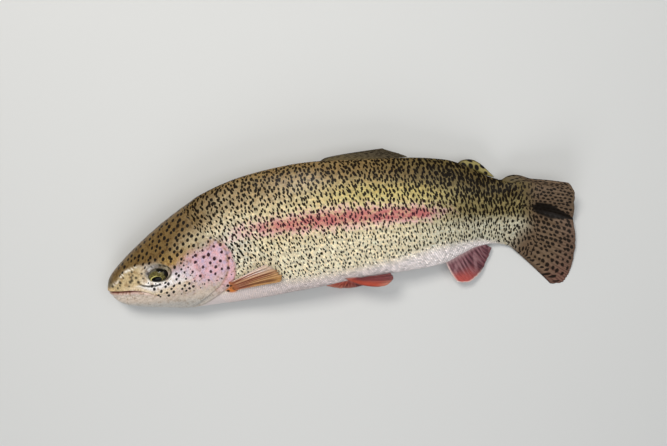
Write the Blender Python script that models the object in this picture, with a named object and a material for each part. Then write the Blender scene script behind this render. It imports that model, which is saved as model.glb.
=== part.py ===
"""Rainbow trout, life size, lying on its right side on a flat floor.

The nose points to -X, the back to +Y and the left flank to +Z. The floor is z = 0.
The body is one lofted form along a curved spine, parted by thin cuts into head, jaw,
gill covers, trunk and tail stalk. Each fin is a fan of rays given a thickness.
"""

import math

import bmesh
import bpy
import numpy as np
from mathutils import Matrix, Vector

# ---- driving dimensions, in metres and degrees --------------------------------------
MM = 0.001
GAP = 0.3 * MM  # left between neighbouring pieces
NOSE_AT = (-0.2224, -0.0621)  # where the spine starts, so that the whole is centred
AROUND = 28  # points round a body section
SPINE_STEP = 0.5 * MM
SIDES = ((1, "left"), (-1, "right"))

# Each list runs from the nose to the tail root as (distance along the spine in mm, value).
HEADING = [(0, 21.0), (60, 22.0), (112, 23.0), (140, 18.5), (176, 13.0), (215, 8.8), (270, 4.0),
           (322, 2.5), (345, -1.5), (368, -4.0), (396, -4.5), (460, -4.5)]
LIFT = [(0, 22.5), (60, 25.0), (104, 26.3), (150, 28.0), (195, 29.3), (255, 27.4),
        (311, 22.2), (348, 16.0), (368, 12.1), (396, 9.6), (460, 8.0)]
ROLL = [(0, 9.0), (90, 8.5), (150, 1.5), (200, 0.0), (320, 1.0), (396, 8.0), (460, 8.0)]
HALF_DEPTH = [(0, 0.0), (0.8, 5.2), (3, 10.0), (8, 15.8), (23, 24.4), (43, 33.4), (83, 47.4),
              (122, 55.7), (160, 58.6), (195, 59.0), (255, 55.2), (300, 53.0), (330, 49.2),
              (348, 42.4), (368, 34.2), (385, 31.4), (396, 33.0)]
HALF_WIDTH = [(0, 0.0), (0.8, 3.9), (3, 7.0), (8, 10.6), (23, 15.0), (43, 18.6), (83, 23.8),
              (122, 26.8), (160, 28.9), (195, 30.0), (255, 28.0), (311, 21.8), (348, 15.2),
              (368, 11.6), (385, 7.4), (396, 4.0)]
THROAT_VEE = [(0, 0.05), (30, 0.22), (95, 0.30), (140, 0.14), (200, 0.02), (396, 0.0)]
CROWN = [(0, 0.0), (40, 0.10), (100, 0.20), (200, 0.12), (396, 0.05)]
SQUARENESS = 2.15  # superellipse power of a section: 2 is an ellipse

HEAD_END = 112.0
TRUNK_SPLIT = 232.0
STALK_START = 338.0
STALK_END = 396.0
NOSE_RINGS = (0.0, 0.8, 2.0, 4.0)  # close together where the nose is round
HEAD_START = 7.0  # where the even rings of the head begin
RING_STEP = {"head": 6.5, "trunk": 9.0, "stalk": 7.0}

EYE_S = 57.0  # along the head
EYE_RISE = 6.0  # above the spine's level
EYE_HALF = (11.0, 7.2, 6.2)  # along the head, up and down, and outward
EYE_PROUD = 1.4  # how far the ball stands out of the cheek

MOUTH_START = (-1.0, 2.2)  # along and above the spine, at the lips
MOUTH_CORNER = (36.0, -9.0)
JAW_LENGTH = 48.0
JAW_BACK = 72.0  # how far back the piece that the jaw is cut from runs
JAW_PRISM = {"ahead": 8.0, "below": 60.0, "aside": 40.0}  # how far the cutter passes the jaw

GILL_PLATE = 2.6  # thickness of a gill cover
GILL_PROUD = 0.5
GILL_LEVELS, GILL_COLUMNS = 12, 9
GILL_TOP, GILL_BOTTOM = 67.0, 128.0  # degrees from the back, round the side
GILL_FRONT, GILL_FRONT_TURN, GILL_FRONT_BOW = 84.0, 126.0, 0.0040  # foremost, at a turn
GILL_REAR, GILL_REAR_TURN, GILL_REAR_BOW = 125.0, 86.0, 0.0197  # rearmost, at a turn
GILL_RECESS = {"out": 6.0, "round": 0.7, "under": 0.4}  # how far the recess passes the plate

# Fins are fans of rays. q runs over the rays, from the first (0) to the last (1), and v
# along a ray, from its root (0) to its tip (1). Lengths are in mm, angles in degrees.
DORSAL = {  # folded down: its rays trail over the back, the first one on top
    "rays": 12, "steps": 6,
    "root": lambda q: 219.0 + 48.0 * q,
    "length": lambda q: 55.0 - 26.0 * q**0.8,
    "height": lambda q, v: 7.9 * (1 - q) ** 0.75 * v**0.55 + 1.3 * v,
    "half": (1.20, 0.45),  # thickness at the root and at the tip
}
ADIPOSE = {  # a rounded lobe leaning back over the tail stalk
    "rays": 9, "steps": 7,
    "root": lambda q: 339.0 + 13.0 * q,
    "length": lambda q: 34.0 - 16.0 * q,
    "height": lambda q, v: 8.0 * (1 - q) * np.sin(math.pi * v**0.85) + 1.2 * v,
    "half": (1.3, 0.5),
}
ANAL = {
    "rays": 13, "steps": 6,
    "root": lambda q: 331.0 + 43.0 * q,
    "angle": lambda q: 71.0 - 31.0 * q,  # from tailward to outward
    "bend": lambda q: 22.0 + 0.0 * q,  # how far a ray turns on its way out
    "length": [(0, 24.0), (0.25, 30.5), (0.5, 27.0), (0.75, 18.0), (1, 7.0)],
    "half": (1.0, 0.35),
}
PELVIC = {
    "left": {  # the upper one trails back
        "turn": lambda q: 151.0 + 7.0 * q,
        "outward": (-0.93, -0.36),  # to the back and to the left
        "angle": lambda q: 44.0 - 44.0 * q,
        "bend": lambda q: 34.0 - 30.0 * q,
        "length": [(0, 33.0), (0.25, 39.5), (0.6, 41.0), (1, 35.0)],
    },
    "right": {  # the lower one lies forward on the floor
        "turn": lambda q: -163.0 - 4.0 * q,
        "outward": (-0.55, -0.83),
        "angle": lambda q: 128.0 - 98.0 * q,
        "bend": lambda q: -42.0 + 60.0 * q,
        "length": [(0, 26.0), (0.3, 31.0), (0.7, 32.0), (1, 25.0)],
    },
    "rays": 11, "steps": 6,
    "root": lambda q: 228.0 + 9.0 * q,
    "proud": 1.4,  # of its root, so that the fin clears the belly
    "floor": 0.8,  # the lowest that the middle of the fin's thickness lies
    "half": (1.1, 0.35),
}
PECTORAL = {
    "left": {  # the upper one stands a little open
        "root": 113.6,
        "length": lambda q: 38.0 + 17.0 * np.sin(math.pi * (0.10 + 0.62 * q)),
        "turn": lambda q: 117.0 + 12.0 * q,
        "sweep": lambda q: -10.0 + 12.0 * q,  # how far a ray turns round the body
        "lift": lambda q: 5.0 * (1 - q) ** 1.5 + 1.5,
    },
    "right": {  # the lower one is folded in under the belly
        "root": 121.5,
        "length": lambda q: 50.0 - 18.0 * q,
        "turn": lambda q: 141.0 + 4.0 * q,
        "sweep": lambda q: 4.0 + 12.0 * q,
        "lift": lambda q: 1.2 + 0.0 * q,
    },
    "rays": 12, "steps": 6,
    "proud": 1.6,
    "half": (1.10, 0.35),
}
TAIL = {
    "rays": 29, "steps": 8,
    # of the rays' tips, from the upper edge to the lower one: beyond the stalk, high, to the left
    "reach": [(0, 40.7), (0.14, 47.4), (0.30, 52.5), (0.47, 57.8), (0.60, 62.8), (0.74, 65.6),
              (0.86, 65.8), (0.93, 63.5), (0.97, 59.2), (1, 47.5)],
    "high": [(0, 39.9), (0.14, 32.1), (0.30, 18.1), (0.47, 0.4), (0.60, -15.2), (0.74, -32.1),
             (0.86, -47.7), (0.93, -58.5), (0.97, -66.5), (1, -69.3)],
    "rise": [(0, 20.0), (0.14, 18.5), (0.30, 11.0), (0.44, 3.0), (0.50, -1.0), (0.62, 2.0),
             (0.80, 1.5), (1, 1.0)],
    "back_share": 0.14,  # the share of the rays that sprout along the stalk's back
    "back_run": 18.0,  # how far forward of the stalk's end they start
    "back_clear": 1.3,  # between them and the back
    "root_high": 66.0,
    "fold_at": 0.48,  # between the two lobes
    "fold_width": 0.085,
    "fold_depth": 5.5,
    "crest_width": 0.12,  # the share of the rays that hump up over the back
    "hump": 4.8,
    "hump_at": 0.19,
    "hump_width": 0.17,
    "hump_foot": 0.08,
    "upper_arch": 2.6,
    "lower_arch": 0.8,
    "half": (0.8, 0.4),
    "back_half": 1.6,  # more thickness at the roots along the back
    "thinning": 2.2,
    "edge_half": 0.35,  # the share of the thickness left at the two outer rays
    "edge_run": 6.0,
}

COLOURS = {
    "back_skin": (0.20, 0.15, 0.07, 0.38),
    "flank_skin": (0.50, 0.44, 0.26, 0.35),
    "head_skin": (0.42, 0.32, 0.18, 0.35),
    "gill_skin": (0.62, 0.45, 0.45, 0.30),
    "jaw_skin": (0.66, 0.55, 0.45, 0.35),
    "eye": (0.05, 0.05, 0.03, 0.08),
    "tail_fin": (0.24, 0.18, 0.10, 0.45),
    "red_fin": (0.55, 0.20, 0.12, 0.40),
    "orange_fin": (0.55, 0.27, 0.10, 0.40),
}


# ---- curves and the body's form ------------------------------------------------------
def smooth(knots, at):
    """Value of a smooth curve through (x, value) knots, with no overshoot."""
    x, y = np.array(knots, float).T
    step = np.diff(x)
    slope = np.diff(y) / step
    same_way = slope[:-1] * slope[1:] > 0
    mean = np.where(same_way, slope[:-1] + slope[1:], 1.0)
    tangent = np.concatenate(
        ([slope[0]], np.where(same_way, 2 * slope[:-1] * slope[1:] / mean, 0.0), [slope[-1]])
    )
    at = np.clip(np.asarray(at, float), x[0], x[-1])
    i = np.clip(np.searchsorted(x, at) - 1, 0, len(step) - 1)
    t = (at - x[i]) / step[i]
    rise = (2 * t**3 - 3 * t**2 + 1) * y[i] + (3 * t**2 - 2 * t**3) * y[i + 1]
    return rise + step[i] * (
        (t**3 - 2 * t**2 + t) * tangent[i] + (t**3 - t**2) * tangent[i + 1]
    )


def walk_spine():
    """Points of the spine in metres, one every SPINE_STEP, from its heading and lift."""
    far = HEADING[-1][0] * MM
    along = np.arange(0.0, far + SPINE_STEP, SPINE_STEP)
    heading = np.radians(smooth(HEADING, along / MM))
    height = smooth(LIFT, along / MM) * MM
    flat = np.sqrt(1 - np.gradient(height, along) ** 2)
    x = NOSE_AT[0] + np.cumsum(np.cos(heading) * flat) * SPINE_STEP
    y = NOSE_AT[1] + np.cumsum(np.sin(heading) * flat) * SPINE_STEP
    return along, np.stack([x, y, height], axis=1)


ALONG, SPINE = walk_spine()


def frame_at(s):
    """Spine point, tailward, backward (to the back) and leftward directions, at s mm."""
    s = np.asarray(s, float)
    at = s * MM
    centre = np.stack([np.interp(at, ALONG, SPINE[:, k]) for k in range(3)], axis=-1)
    ahead = np.stack([np.interp(at + MM, ALONG, SPINE[:, k]) for k in range(3)], axis=-1)
    behind = np.stack([np.interp(at - MM, ALONG, SPINE[:, k]) for k in range(3)], axis=-1)
    tail = ahead - behind
    tail /= np.linalg.norm(tail, axis=-1, keepdims=True)
    level = np.stack([-tail[..., 1], tail[..., 0], np.zeros_like(s)], axis=-1)
    level /= np.linalg.norm(level, axis=-1, keepdims=True)
    side = np.cross(tail, level)
    roll = np.radians(smooth(ROLL, s))[..., None]
    back = level * np.cos(roll) + side * np.sin(roll)
    left = side * np.cos(roll) - level * np.sin(roll)
    return centre, tail, back, left


def section(s, turn):
    """(height above the spine, distance to the left) of the skin, in mm.

    turn is the angle round the body: 0 at the back, 90 on the left flank, 180 on the belly.
    """
    s, turn = np.broadcast_arrays(np.asarray(s, float), np.radians(np.asarray(turn, float)))
    c, q = np.cos(turn), np.sin(turn)
    size = (np.abs(c) ** SQUARENESS + np.abs(q) ** SQUARENESS) ** (-1 / SQUARENESS)
    narrow = smooth(THROAT_VEE, s) * np.maximum(0, -c) ** 1.5
    narrow = narrow + smooth(CROWN, s) * np.maximum(0, c) ** 1.5
    return smooth(HALF_DEPTH, s) * c * size, smooth(HALF_WIDTH, s) * q * size * (1 - narrow)


def on_body(s, turn, out=0.0):
    """Points on the body in metres, moved out mm along the section's own normal."""
    s, turn = np.broadcast_arrays(np.asarray(s, float), np.asarray(turn, float))
    high, wide = section(s, turn)
    high2, wide2 = section(s, turn + 1.0)
    high1, wide1 = section(s, turn - 1.0)
    run = np.hypot(high2 - high1, wide2 - wide1) + 1e-9
    high = high + out * (wide2 - wide1) / run
    wide = wide - out * (high2 - high1) / run
    centre, _, back, left = frame_at(s)
    return centre + (back * high[..., None] + left * wide[..., None]) * MM


def on_floor(points):
    """Nothing reaches below the floor: what would is pressed flat on it."""
    points = np.array(points, float)
    points[..., 2] = np.maximum(points[..., 2], 0.0)
    return points


# ---- mesh helpers --------------------------------------------------------------------
def paint(obj, colour_name):
    red, green, blue, rough = COLOURS[colour_name]
    material = bpy.data.materials.new(obj.name)
    material.use_nodes = True
    shader = material.node_tree.nodes["Principled BSDF"]
    shader.inputs["Base Color"].default_value = (red, green, blue, 1)
    shader.inputs["Roughness"].default_value = rough
    shader.inputs["Metallic"].default_value = 0.0
    obj.data.materials.clear()
    obj.data.materials.append(material)


def add_object(name, bm, collection, colour_name=None):
    bmesh.ops.recalc_face_normals(bm, faces=bm.faces)
    mesh = bpy.data.meshes.new(name)
    bm.to_mesh(mesh)
    bm.free()
    mesh.shade_smooth()
    obj = bpy.data.objects.new(name, mesh)
    collection.objects.link(obj)
    if colour_name:
        paint(obj, colour_name)
    return obj


def loft(rings):
    """A closed bmesh through rings of points; a ring of one point is a pole."""
    bm = bmesh.new()
    rows = [[bm.verts.new(p) for p in ring] for ring in rings]
    for near, far in zip(rows, rows[1:]):
        count = max(len(near), len(far))
        for i in range(count):
            j = (i + 1) % count
            if len(near) == 1:
                bm.faces.new((near[0], far[i], far[j]))
            elif len(far) == 1:
                bm.faces.new((near[i], far[0], near[j]))
            else:
                bm.faces.new((near[i], far[i], far[j], near[j]))
    for end in (rows[0], rows[-1]):
        if len(end) > 1:
            bm.faces.new(end)
    return bm


def slab(outer, inner):
    """A closed bmesh between two grids of points of one size."""
    rows, columns = outer.shape[:2]
    bm = bmesh.new()
    for points in (outer, inner):
        grid = bmesh.ops.create_grid(bm, x_segments=columns - 1, y_segments=rows - 1, size=1)
        for vert, place in zip(grid["verts"], points.reshape(-1, 3)):
            vert.co = place
    rims = [edge for edge in bm.edges if edge.is_boundary]
    bmesh.ops.bridge_loops(bm, edges=rims)
    return bm


def fan(rays, half_thickness, square_to=None):
    """A closed fin from rays[i, j] (ray, along the ray) and its half thickness in mm.

    square_to keeps the thickness at right angles to a direction, so a root stays flat.
    """
    across = np.gradient(rays, axis=0)
    along = np.gradient(rays, axis=1)
    normal = np.cross(across, along)
    if square_to is not None:
        normal -= square_to * (normal @ square_to)[..., None]
    normal /= np.linalg.norm(normal, axis=2, keepdims=True) + 1e-12
    offset = normal * half_thickness[..., None] * MM
    return slab(on_floor(rays + offset), on_floor(rays - offset))


def boolean(target, other, operation):
    modifier = target.modifiers.new(operation.lower(), "BOOLEAN")
    modifier.operation = operation
    modifier.object = other
    modifier.solver = "EXACT"


def hide(obj):
    obj.hide_render = True
    obj.display_type = "WIRE"


def add_cutter(name, bm, cutters):
    cutter = add_object(name, bm, cutters)
    hide(cutter)
    return cutter


# ---- flesh: head, jaw, gill covers, trunk, tail stalk --------------------------------
def body_piece(name, start, end, kind, collection, colour_name):
    count = max(2, round((end - start) / RING_STEP[kind]) + 1)
    stations = np.linspace(start, end, count)
    if start == 0:
        stations = np.concatenate((NOSE_RINGS, np.linspace(HEAD_START, end, count)))
    turns = np.arange(AROUND) * 360.0 / AROUND
    rings = [on_floor(on_body(s, turns if s > 0 else np.zeros(1))) for s in stations]
    return add_object(name, loft(rings), collection, colour_name)


def gill_grid(side, out, grow=0.0):
    """Grid of points over one gill cover: rows from top to bottom, columns to the rear."""
    level = np.linspace(0, 1, GILL_LEVELS)[:, None]
    reach = np.linspace(0, 1, GILL_COLUMNS)[None, :]
    top, bottom = GILL_TOP - 1.5 * grow, GILL_BOTTOM + 1.5 * grow
    turn = top + (bottom - top) * level
    front = GILL_FRONT - grow + GILL_FRONT_BOW * (turn - GILL_FRONT_TURN) ** 2
    rear = GILL_REAR + grow - GILL_REAR_BOW * (turn - GILL_REAR_TURN) ** 2
    return on_body(front + (rear - front) * reach, side * turn, out)


def make_gill_cover(side, name, collection, cutters):
    """Makes a gill cover and gives the cutter of the recess that it lies in."""
    outside, inside = GILL_PROUD, GILL_PROUD - GILL_PLATE
    plate = slab(on_floor(gill_grid(side, outside)), on_floor(gill_grid(side, inside)))
    add_object(name, plate, collection, "gill_skin")
    around = GILL_RECESS["round"]
    space = slab(gill_grid(side, GILL_RECESS["out"], around),
                 gill_grid(side, inside - GILL_RECESS["under"], around))
    return add_cutter(name + "_recess", space, cutters)


def make_jaw_cutter(name, shrink, cutters):
    """A prism below the mouth line, from the lips back to the end of the jaw."""
    (a0, h0), (a1, h1) = MOUTH_START, MOUTH_CORNER
    slope = (h1 - h0) / (a1 - a0)
    front, rear = -JAW_PRISM["ahead"], JAW_LENGTH - shrink
    line = [(a, h0 + slope * (a - a0) - shrink) for a in (front, rear)]
    below = -JAW_PRISM["below"]
    outline = [line[0], line[1], (rear + JAW_PRISM["ahead"], below), (front, below)]
    centre, tail, back, left = frame_at(0.0)
    rings = []
    for half in (-JAW_PRISM["aside"], JAW_PRISM["aside"]):
        rings.append([centre + (tail * a + back * h + left * half) * MM for a, h in outline])
    return add_cutter(name, loft(rings), cutters)


def add_eyeball(name, side, gap, collection):
    """An oval ball in the side of the head, flatter outward than along the head."""
    turn = side * math.degrees(math.acos(EYE_RISE / float(smooth(HALF_DEPTH, EYE_S))))
    centre = Vector(on_body(EYE_S, turn, EYE_PROUD - EYE_HALF[2]))
    outward = (Vector(on_body(EYE_S, turn, 1.0)) - Vector(on_body(EYE_S, turn, 0.0))).normalized()
    along = Vector(on_body(EYE_S + 1, turn, 0.0)) - Vector(on_body(EYE_S - 1, turn, 0.0))
    along = (along - outward * along.dot(outward)).normalized()
    bm = bmesh.new()
    bmesh.ops.create_uvsphere(bm, u_segments=20, v_segments=10, radius=1.0)
    bmesh.ops.scale(bm, vec=Vector(EYE_HALF) * MM + Vector((gap, gap, gap)), verts=bm.verts)
    ball = add_object(name, bm, collection, "eye")
    ball.location = centre
    ball.rotation_euler = Matrix((along, outward.cross(along), outward)).transposed().to_euler()
    return ball


def make_flesh(collection, cutters):
    after = GAP / MM
    head = body_piece("head", 0.0, HEAD_END - after / 2, "head", collection, "head_skin")
    jaw = body_piece("lower_jaw", 0.0, JAW_BACK, "head", collection, "jaw_skin")
    front = body_piece(
        "trunk_front", HEAD_END + after / 2, TRUNK_SPLIT, "trunk", collection, "flank_skin"
    )
    body_piece("trunk_rear", TRUNK_SPLIT + after, STALK_START, "trunk", collection, "flank_skin")
    body_piece("tail_stalk", STALK_START + after, STALK_END, "stalk", collection, "back_skin")
    boolean(jaw, make_jaw_cutter("jaw_space", after, cutters), "INTERSECT")
    boolean(head, make_jaw_cutter("jaw_recess", 0.0, cutters), "DIFFERENCE")
    for side, word in SIDES:
        recess = make_gill_cover(side, "gill_cover_" + word, collection, cutters)
        for piece in (head, front):
            boolean(piece, recess, "DIFFERENCE")
        add_eyeball("eye_" + word, side, 0.0, collection)
        socket = add_eyeball("eye_socket_" + word, side, GAP, cutters)
        hide(socket)
        boolean(head, socket, "DIFFERENCE")


# ---- fins ----------------------------------------------------------------------------
def fin_grid(plan):
    """Shares over the rays, as a column, and along them, as a row."""
    q = np.linspace(0, 1, plan["rays"])[:, None]
    return q, np.linspace(0, 1, plan["steps"] + 1)[None, :]


def bent_rays(base, outward, tailward, plan, count, steps):
    """Rays from base, each at the plan's angle and turning by its bend."""
    q = np.linspace(0, 1, count)
    stride = (smooth(plan["length"], q) / steps)[:, None] * MM
    rays = [base]
    for j in range(steps):
        turn = np.radians(plan["angle"](q) - plan["bend"](q) * (j + 0.5) / steps)[:, None]
        rays.append(rays[-1] + (tailward * np.cos(turn) + outward * np.sin(turn)) * stride)
    return np.stack(rays, axis=1)


def thinned(half, q, v):
    """Half thickness of a fin that thins evenly from its root to its tip, in mm."""
    root, tip = half
    return root + (tip - root) * v + 0.0 * q


def add_fin(name, plan, rays, collection, colour_name):
    q, v = fin_grid(plan)
    add_object(name, fan(rays, thinned(plan["half"], q, v)), collection, colour_name)


def make_back_fin(name, plan, collection):
    """A fin that trails along the middle of the back."""
    q, v = fin_grid(plan)
    s = plan["root"](q) + plan["length"](q) * v
    rays = on_body(s, 0.0, GAP / MM + plan["height"](q, v))
    add_fin(name, plan, rays, collection, "back_skin")


def make_anal_fin(collection):
    root_s = ANAL["root"](np.linspace(0, 1, ANAL["rays"]))
    _, tail, back, _ = frame_at(root_s)
    base = on_body(root_s, 180.0) - back * GAP
    rays = bent_rays(base, -back, tail, ANAL, ANAL["rays"], ANAL["steps"])
    add_fin("anal_fin", ANAL, rays, collection, "red_fin")


def make_pelvic_fin(word, collection):
    """A fan from the belly."""
    plan = PELVIC[word]
    q = np.linspace(0, 1, PELVIC["rays"])
    root_s = PELVIC["root"](q)
    _, tail, back, left = frame_at(root_s)
    base = on_body(root_s, plan["turn"](q), PELVIC["proud"])
    outward = back * plan["outward"][0] + left * plan["outward"][1]
    outward /= np.linalg.norm(outward, axis=1, keepdims=True)
    rays = bent_rays(base, outward, tail, plan, PELVIC["rays"], PELVIC["steps"])
    rays[..., 2] = np.maximum(rays[..., 2], PELVIC["floor"] * MM)
    add_fin("pelvic_fin_" + word, PELVIC, rays, collection, "red_fin")


def make_pectoral_fin(side, word, collection):
    """A fan from behind the gill cover, lying back along the flank."""
    plan = PECTORAL[word]
    q, v = fin_grid(PECTORAL)
    turn = plan["turn"](q) + plan["sweep"](q) * v
    out = PECTORAL["proud"] + plan["lift"](q) * v
    rays = on_body(plan["root"] + plan["length"](q) * v, side * turn, out)
    add_fin("pectoral_fin_" + word, PECTORAL, rays, collection, "orange_fin")


def make_tail_fin(collection):
    """Rays from the stalk to a rear edge whose upper half is lifted and folded."""
    column, row = fin_grid(TAIL)
    q, v = column[:, 0], row[..., None]
    # the first rays sprout along the stalk's back, the others from its end
    on_back = np.minimum(q / TAIL["back_share"], 1)
    beyond = np.maximum(q - TAIL["back_share"], 0) / (1 - TAIL["back_share"])
    root_s = STALK_END + GAP / MM - TAIL["back_run"] * (1 - on_back)
    _, _, back_here, _ = frame_at(root_s)
    base = on_body(root_s, 0.0, TAIL["back_clear"])
    base = base - back_here * (TAIL["root_high"] * beyond)[:, None] * MM
    centre, tail, back, left = frame_at(STALK_END + GAP / MM + 0.0 * q)
    reach, high, rise = (smooth(TAIL[line], q)[:, None] for line in ("reach", "high", "rise"))
    tip = centre + (tail * reach + back * high + left * rise) * MM
    rays = base[:, None, :] * (1 - v) + tip[:, None, :] * v
    # the crest humps up over the back, and the fold between the lobes sinks
    arch = np.sin(math.pi * v)
    rounded = np.exp(-(((v - TAIL["hump_at"]) / TAIL["hump_width"]) ** 2))
    hump = TAIL["hump"] * rounded * np.minimum(v / TAIL["hump_foot"], 1)
    crest = np.exp(-((q / TAIL["crest_width"]) ** 2))[:, None, None]
    bow = crest * (hump + TAIL["upper_arch"] * arch)
    bow = bow + TAIL["lower_arch"] * (q**3)[:, None, None] * arch
    fold = np.exp(-(((q - TAIL["fold_at"]) / TAIL["fold_width"]) ** 2))[:, None, None]
    sag = fold * arch * TAIL["fold_depth"]
    rays = rays + (back[:, None, :] * bow - left[:, None, :] * sag) * MM
    root, least = TAIL["half"]
    edge = np.minimum(1, TAIL["edge_half"] + TAIL["edge_run"] * np.minimum(q, 1 - q))[:, None]
    root = root + TAIL["back_half"] * on_back[:, None]
    thick = edge * (least + root * (1 - row) ** TAIL["thinning"])
    add_object("tail_fin", fan(rays, thick, tail[0]), collection, "tail_fin")


def make_fins(collection):
    make_back_fin("dorsal_fin", DORSAL, collection)
    make_back_fin("adipose_fin", ADIPOSE, collection)
    make_anal_fin(collection)
    make_tail_fin(collection)
    for side, word in SIDES:
        make_pectoral_fin(side, word, collection)
        make_pelvic_fin(word, collection)


def main():
    for obj in list(bpy.data.objects):
        bpy.data.objects.remove(obj, do_unlink=True)
    trout = bpy.data.collections.new("rainbow_trout")
    cutters = bpy.data.collections.new("cutters")
    for collection in (trout, cutters):
        bpy.context.scene.collection.children.link(collection)
    make_flesh(trout, cutters)
    make_fins(trout)
    middle = bpy.data.objects.new("rainbow_trout", None)
    trout.objects.link(middle)
    for obj in trout.objects:
        if obj.type == "MESH":
            obj.parent = middle


main()
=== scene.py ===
import math

import bpy
import numpy as np
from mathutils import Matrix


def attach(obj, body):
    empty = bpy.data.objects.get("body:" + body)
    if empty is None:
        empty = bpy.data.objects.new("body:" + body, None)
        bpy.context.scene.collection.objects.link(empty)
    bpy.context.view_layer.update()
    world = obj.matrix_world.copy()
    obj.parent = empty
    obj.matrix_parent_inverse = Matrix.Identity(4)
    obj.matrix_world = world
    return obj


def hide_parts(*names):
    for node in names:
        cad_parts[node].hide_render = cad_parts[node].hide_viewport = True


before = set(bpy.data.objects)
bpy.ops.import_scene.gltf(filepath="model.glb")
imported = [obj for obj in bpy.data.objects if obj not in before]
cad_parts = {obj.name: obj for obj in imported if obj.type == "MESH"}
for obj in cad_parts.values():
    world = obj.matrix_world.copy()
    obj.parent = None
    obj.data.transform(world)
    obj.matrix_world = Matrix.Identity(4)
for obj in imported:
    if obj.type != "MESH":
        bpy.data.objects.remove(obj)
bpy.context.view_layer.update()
bpy.ops.object.select_all(action="DESELECT")

mm = 0.001
draw = np.random.default_rng(11)
sides = {1: "left", -1: "right"}

view = {"lens": 46.72, "distance": 0.8, "tilt": 12.0, "aim": (-0.0095, 0.0076, 0.030)}


def setUpView():
    tilt = math.radians(view["tilt"])
    x, y, z = view["aim"]
    place = (x, y + view["distance"] * math.sin(tilt), z + view["distance"] * math.cos(tilt))
    bpy.ops.object.camera_add(location=place, rotation=(-tilt, 0, 0))
    camera = bpy.context.object
    camera.data.lens = view["lens"]
    camera.data.sensor_width = 36
    bpy.context.scene.camera = camera
    bpy.context.scene.view_settings.view_transform = "Standard"


studio = {
    "floorColour": (0.62, 0.62, 0.61, 1),
    "floorRoughness": 0.7,
    "floorSize": 30,
    "floorDrop": 0.0004,  # how far below the fish it lies, metres
    "world": (0.90, 0.95, 1.0, 1),
    "worldStrength": 0.22,
    # name, place, size, power, colour
    "lamps": [
        ("keyLamp", (-0.40, 0.75, 1.25), 0.40, 13.0, (1.0, 0.97, 0.92)),
        ("topLamp", (0.35, 0.25, 1.6), 1.1, 9.5, (0.97, 0.99, 1.0)),
        ("bellyLamp", (-0.2, -1.1, 0.9), 0.9, 5.5, (1.0, 1.0, 1.0)),
    ],
}


def setUpStudio():
    bpy.ops.mesh.primitive_plane_add(size=studio["floorSize"], location=(0, 0, -studio["floorDrop"]))
    floor = bpy.context.object
    floor.name = "floor"
    paper = bpy.data.materials.new("floorPaper")
    paper.use_nodes = True
    shader = paper.node_tree.nodes["Principled BSDF"]
    shader.inputs["Base Color"].default_value = studio["floorColour"]
    shader.inputs["Roughness"].default_value = studio["floorRoughness"]
    floor.data.materials.append(paper)
    for name, place, size, power, colour in studio["lamps"]:
        bpy.ops.object.light_add(type="AREA", location=place)
        lamp = bpy.context.object
        lamp.name = name
        lamp.data.size = size
        lamp.data.energy = power
        lamp.data.color = colour
        down = -lamp.location
        lamp.rotation_mode = "QUATERNION"
        lamp.rotation_quaternion = down.to_track_quat("-Z", "Y")
    world = bpy.data.worlds.new("studioAir")
    world.use_nodes = True
    air = world.node_tree.nodes["Background"]
    air.inputs["Color"].default_value = studio["world"]
    air.inputs["Strength"].default_value = studio["worldStrength"]
    bpy.context.scene.world = world


setUpView()
setUpStudio()
print("camera, floor and lamps ready")

# each curve runs from the nose to the tail root: (distance along the spine in mm, value)
body = {
    "nose": (-0.2224, -0.0621),
    "heading": [(0, 21.0), (60, 22.0), (112, 23.0), (140, 18.5), (176, 13.0), (215, 8.8), (270, 4.0),
                (322, 2.5), (345, -1.5), (368, -4.0), (396, -4.5), (460, -4.5)],
    "lift": [(0, 22.5), (60, 25.0), (104, 26.3), (150, 28.0), (195, 29.3), (255, 27.4),
             (311, 22.2), (348, 16.0), (368, 12.1), (396, 9.6), (460, 8.0)],
    "roll": [(0, 9.0), (90, 8.5), (150, 1.5), (200, 0.0), (320, 1.0), (396, 8.0), (460, 8.0)],
    "halfDepth": [(0, 0.0), (0.8, 5.2), (3, 10.0), (8, 15.8), (23, 24.4), (43, 33.4), (83, 47.4),
                  (122, 55.7), (160, 58.6), (195, 59.0), (255, 55.2), (300, 53.0), (330, 49.2),
                  (348, 42.4), (368, 34.2), (385, 31.4), (396, 33.0), (408, 35.0)],
    "halfWidth": [(0, 0.0), (0.8, 3.9), (3, 7.0), (8, 10.6), (23, 15.0), (43, 18.6), (83, 23.8),
                  (122, 26.8), (160, 28.9), (195, 30.0), (255, 28.0), (311, 21.8), (348, 15.2),
                  (368, 11.6), (385, 7.4), (396, 4.0), (408, 2.6)],
    "throatVee": [(0, 0.05), (30, 0.22), (95, 0.30), (140, 0.14), (200, 0.02), (396, 0.0)],
    "crown": [(0, 0.0), (40, 0.10), (100, 0.20), (200, 0.12), (396, 0.05)],
    "squareness": 2.15,
    "end": 396.0,  # where the tail fin takes over
    "tableEnd": 407.99,  # just inside the tables made from these curves
    "coat": 0.40,  # how far the skin below the scales lies inside the plain form, mm
    "finBase": (113.5, 125.0, 7.5, 9.0),  # of the pectoral fin: along, turn and the half size of each
    # cosine of the turn from the back at which the white of the belly starts
    "whiteTop": [(60, -0.62), (140, -0.62), (186, -0.73), (235, -0.75), (273, -0.70), (300, -0.62),
                 (319, -0.57), (345, -0.62), (365, -0.74), (396, -1.05)],
}


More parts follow.
